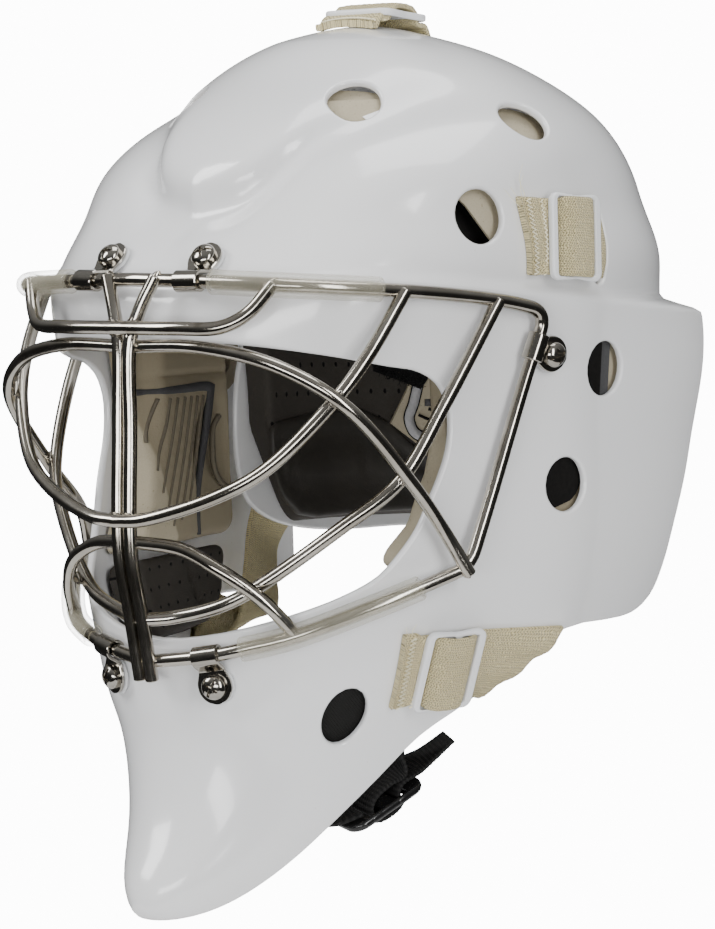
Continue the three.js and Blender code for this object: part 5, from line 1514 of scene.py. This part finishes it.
parts = {"grey": ([printed(PRINT, 3.6, 2.0)], grey),
         # The two narrow near-black strips are the slits, painted shade; the wide one is the print's real
         # black outline.
         "black": ([printed(PRINT, 4.6, 1.85), printed([(8.06, 210.2), (8.02, 208), (8.0, 206)], 1.1, 1.9),
                    printed([(8.13, 207), (8.12, 205)], 1.3, 1.9)], black_print_and_painted_shade)}
TAPE = [(8.56, 223), (8.46, 215.6), (8.37, 209.2), (8.5, 206.5), (9, 206), (9, 223)]
patch("hook_tape", TAPE, 1.6, 1.5, tape, on_back)
HOOKS = 90
random = np.random.default_rng(4)
hooks = []
for _ in range(HOOKS):
    a = random.uniform(207, 223)
    v = np.interp(a, [206, 209.2, 215.6, 223], [8.5, 8.37, 8.46, 8.56]) + random.uniform(0, 0.12)
    (root,), (normal,) = on_back([(v, a)], 2.6)
    aim = unit(np.array([random.normal(0, 0.6), random.normal(0, 0.6), -1]) - 0.8 * normal)
    curl = unit(np.cross(aim, random.normal(size=3)))
    length = random.uniform(1.2, 3.2)
    steps = np.linspace(0, 1, 6)[:, None]
    path = root + length * (aim * steps + curl * (0.6 * steps**2) - aim * 0.35 * steps**3)
    hooks.append(tube(path, 0.09, 5, 0.02))
parts["hooks"] = (hooks, tape)
for word, (made, material) in parts.items():
    add_pair(f"panel_{word}", joined(made)[:2], material, words=("right", "left"))

# ---- chin strap ------------------------------------------------------------------------------
# Black ribbed webbing, 17 mm wide and 1.6 mm thick, slung under the chin from jaw to jaw through a
# glossy black buckle, below which its sealed tail sticks out.
CHIN_CENTRE = np.array([38.5, -42, -146])
CHIN_ALONG, CHIN_UP = np.array([0.314, 0.836, 0.449]), np.array([-0.035, -0.462, 0.886])
CHIN_SIDE = unit(np.cross(CHIN_ALONG, CHIN_UP))
WEBBING_WIDTH, WEBBING_THICKNESS, RIB_PITCH = 17.0, 1.6, 1.75


def at_chin_buckle(along, up):
    return CHIN_CENTRE + CHIN_ALONG * along + CHIN_UP * up


def inside_jaw(side, y, z, clearance):
    point, normal, rearward, upward = shell_frame(y, z)
    turn = np.array([side, 1, 1])
    width = (upward * 0.57 - rearward * 0.82) * turn * side
    return (point - normal * (SHELL_WALL + clearance + WEBBING_THICKNESS / 2)) * turn, width


SLING = [
    (at_chin_buckle(-10, 2.8), CHIN_SIDE), (at_chin_buckle(-17, 4.4), CHIN_SIDE),
    ((22, -61, -150), (0.6, -0.8, 0)),
    ((2, -64, -152), (0, -1, 0)), ((-20, -60, -151), (-0.5, -0.85, 0)), ((-38, -49, -144), (-0.6, -0.8, 0.2)),
    inside_jaw(-1, -42, -122, 4), inside_jaw(-1, -40, -105, 2 * SEAT_GAP)]
TAIL_WEBBING = [inside_jaw(1, -40, -105, 2 * SEAT_GAP), inside_jaw(1, -40, -122, 3)]
TAIL_WEBBING += [(at_chin_buckle(*place), CHIN_SIDE) for place in (
    (14, 8.5), (4, 6.6), (-3, 5.4), (-6, 2.4), (-6, -2.2), (-3.4, -3.6), (3.4, -3.6), (6, -2.2), (6, 1.6),
    (8.6, 3.9), (18, 3.8))]
TAIL_WEBBING += [((47.2, -24.6, -131.8), (0.81, -0.56, -0.12)), ((53.2, -17.7, -124.8), (0.74, -0.66, -0.05))]


def webbing_rows(stations):
    centres = np.array([point for point, _ in stations], float)
    along = np.gradient(centres, axis=0)
    widths = np.array([side for _, side in stations], float)
    normal = unit(np.cross(along, widths))
    wide = unit(np.cross(normal, along))
    return lambda w: centres[:, None] + wide[:, None] * np.asarray(w)[None, :, None]


def ribs(s, _):
    return 0.13 * np.sin(2 * np.pi * s / RIB_PITCH)


def webbing_weave(shade, at):
    place = shade.surface()
    along = place.part(0) * (2000 * math.pi / RIB_PITCH)
    across = place.part(1) * (1000 / 1.3)
    yarn = shade.math("ABSOLUTE", shade.math("SINE", across * math.pi))
    rib = shade.math("SINE", along) * 0.5 + 0.5
    fuzz = shade.noise(at, 2400.0, 2.0)
    # Painted shade: the grooves between ribs are painted darker than the rib tops.
    return {"Base Color": (rib * 0.6 + fuzz * 0.4).mix((0.0025, 0.0025, 0.0025), (0.016, 0.0155, 0.015)),
            "Roughness": 0.6 + 0.3 * fuzz, "Normal": (rib + yarn * 0.4 + fuzz * 0.3).bump(0.7, 0.0004)}


webbing = finish_of("black webbing", webbing_weave, Specular_IOR_Level=0.25)
for name, stations, replaced in (("webbing_sling", SLING, "chin_strap"),
                                 ("webbing_tail", TAIL_WEBBING, "chin_strap_tail")):
    points, faces, surface, middle = band(
        webbing_rows(stations), WEBBING_WIDTH, WEBBING_THICKNESS, ribs, steps=12, samples=9)
    piece = add_piece(name, (points, faces), webbing, [replaced], surface)


def chin_plate():
    bevel = 1.3
    outlines = [rounded_box(0, 33 - 2 * bevel, 22 - 2 * bevel, 4 - bevel + 2)]
    outlines += [rounded_box(side * 6, 4.4 + 2 * bevel - 1.4, 18 + 2 * bevel - 1, 1.4) for side in (-1, 1)]
    points, faces = flat_plate(outlines, 3.2, bevel)
    return points, faces


def black_gloss(shade, at):
    cloud = shade.noise(at, 90.0, 2.0)
    return {"Base Color": cloud.mix((0.006, 0.006, 0.006), (0.012, 0.012, 0.012)),
            "Roughness": 0.12 + 0.15 * cloud, "Normal": shade.noise(at, 400.0, 2.0).bump(0.08, 0.0002)}


axes = np.array([CHIN_ALONG, np.cross(CHIN_UP, CHIN_ALONG), CHIN_UP])
crisp(add_piece("chin_slide", placed(chin_plate(), axes, CHIN_CENTRE), finish_of("black gloss", black_gloss),
                ["chin_buckle"]), 40)

# ---- stage -----------------------------------------------------------------------------------
# Plain pale floor and soft studio light. The studio is white where the camera looks at it and
# darker away from the lights, so that the steel has something to reflect.
floor_mesh = bpy.data.meshes.new("floor")
FLOOR_REACH, FLOOR_Z = 0.42, -0.36
floor_corners = [(x * FLOOR_REACH, y * FLOOR_REACH, FLOOR_Z) for x, y in ((-1, -1), (1, -1), (1, 1), (-1, 1))]
floor_mesh.from_pydata(floor_corners, [], [(0, 1, 2, 3)])
floor = bpy.data.objects.new("floor", floor_mesh)
bpy.context.scene.collection.objects.link(floor)
floor_mesh.materials.append(
    finish_of("floor", mottled((0.86, 0.86, 0.86), (0.88, 0.88, 0.88), 2.0), Roughness=0.9))


def softbox(name, place, size, power, target=(0, 0, 0)):
    light = bpy.data.lights.new(name, "AREA")
    light.shape, light.size, light.size_y, light.energy = "RECTANGLE", size[0], size[1], power
    lamp = bpy.data.objects.new(name, light)
    lamp.location = place
    lamp.rotation_euler = (Vector(target) - Vector(place)).to_track_quat("-Z", "Y").to_euler()
    bpy.context.scene.collection.objects.link(lamp)


# Place, size in metres and power in watts.
softbox("key", (-1.5, -1.7, 1.5), (0.9, 1.4), 50)
softbox("side", (2.1, -0.9, 0.5), (0.5, 1.8), 36)
softbox("top", (0.2, 0.2, 2.2), (1.4, 1.4), 30)
softbox("low", (0.9, -2.2, -0.1), (1.6, 0.5), 24)
world = bpy.data.worlds.new("studio")
world.use_nodes = True
bpy.context.scene.world = world
shade = Shade(world.node_tree)
seen, diffuse = (shade.node("ShaderNodeLightPath", output=k) for k in (0, 2))
ray = shade.node("ShaderNodeTexCoord", output=0)
height = ray.part(2)
dark = height.between(-0.1, 0.9) * 0.35 + 0.03
fill = height.between(-0.5, 0.8) * 0.25 + 0.22
strength = diffuse * (fill - dark) + dark
SEEN_WHITE = 13.0
world.node_tree.links.new((seen * (SEEN_WHITE - strength) + strength).socket,
                          world.node_tree.nodes["Background"].inputs["Strength"])
world.node_tree.nodes["Background"].inputs["Color"].default_value = (1, 1, 1, 1)
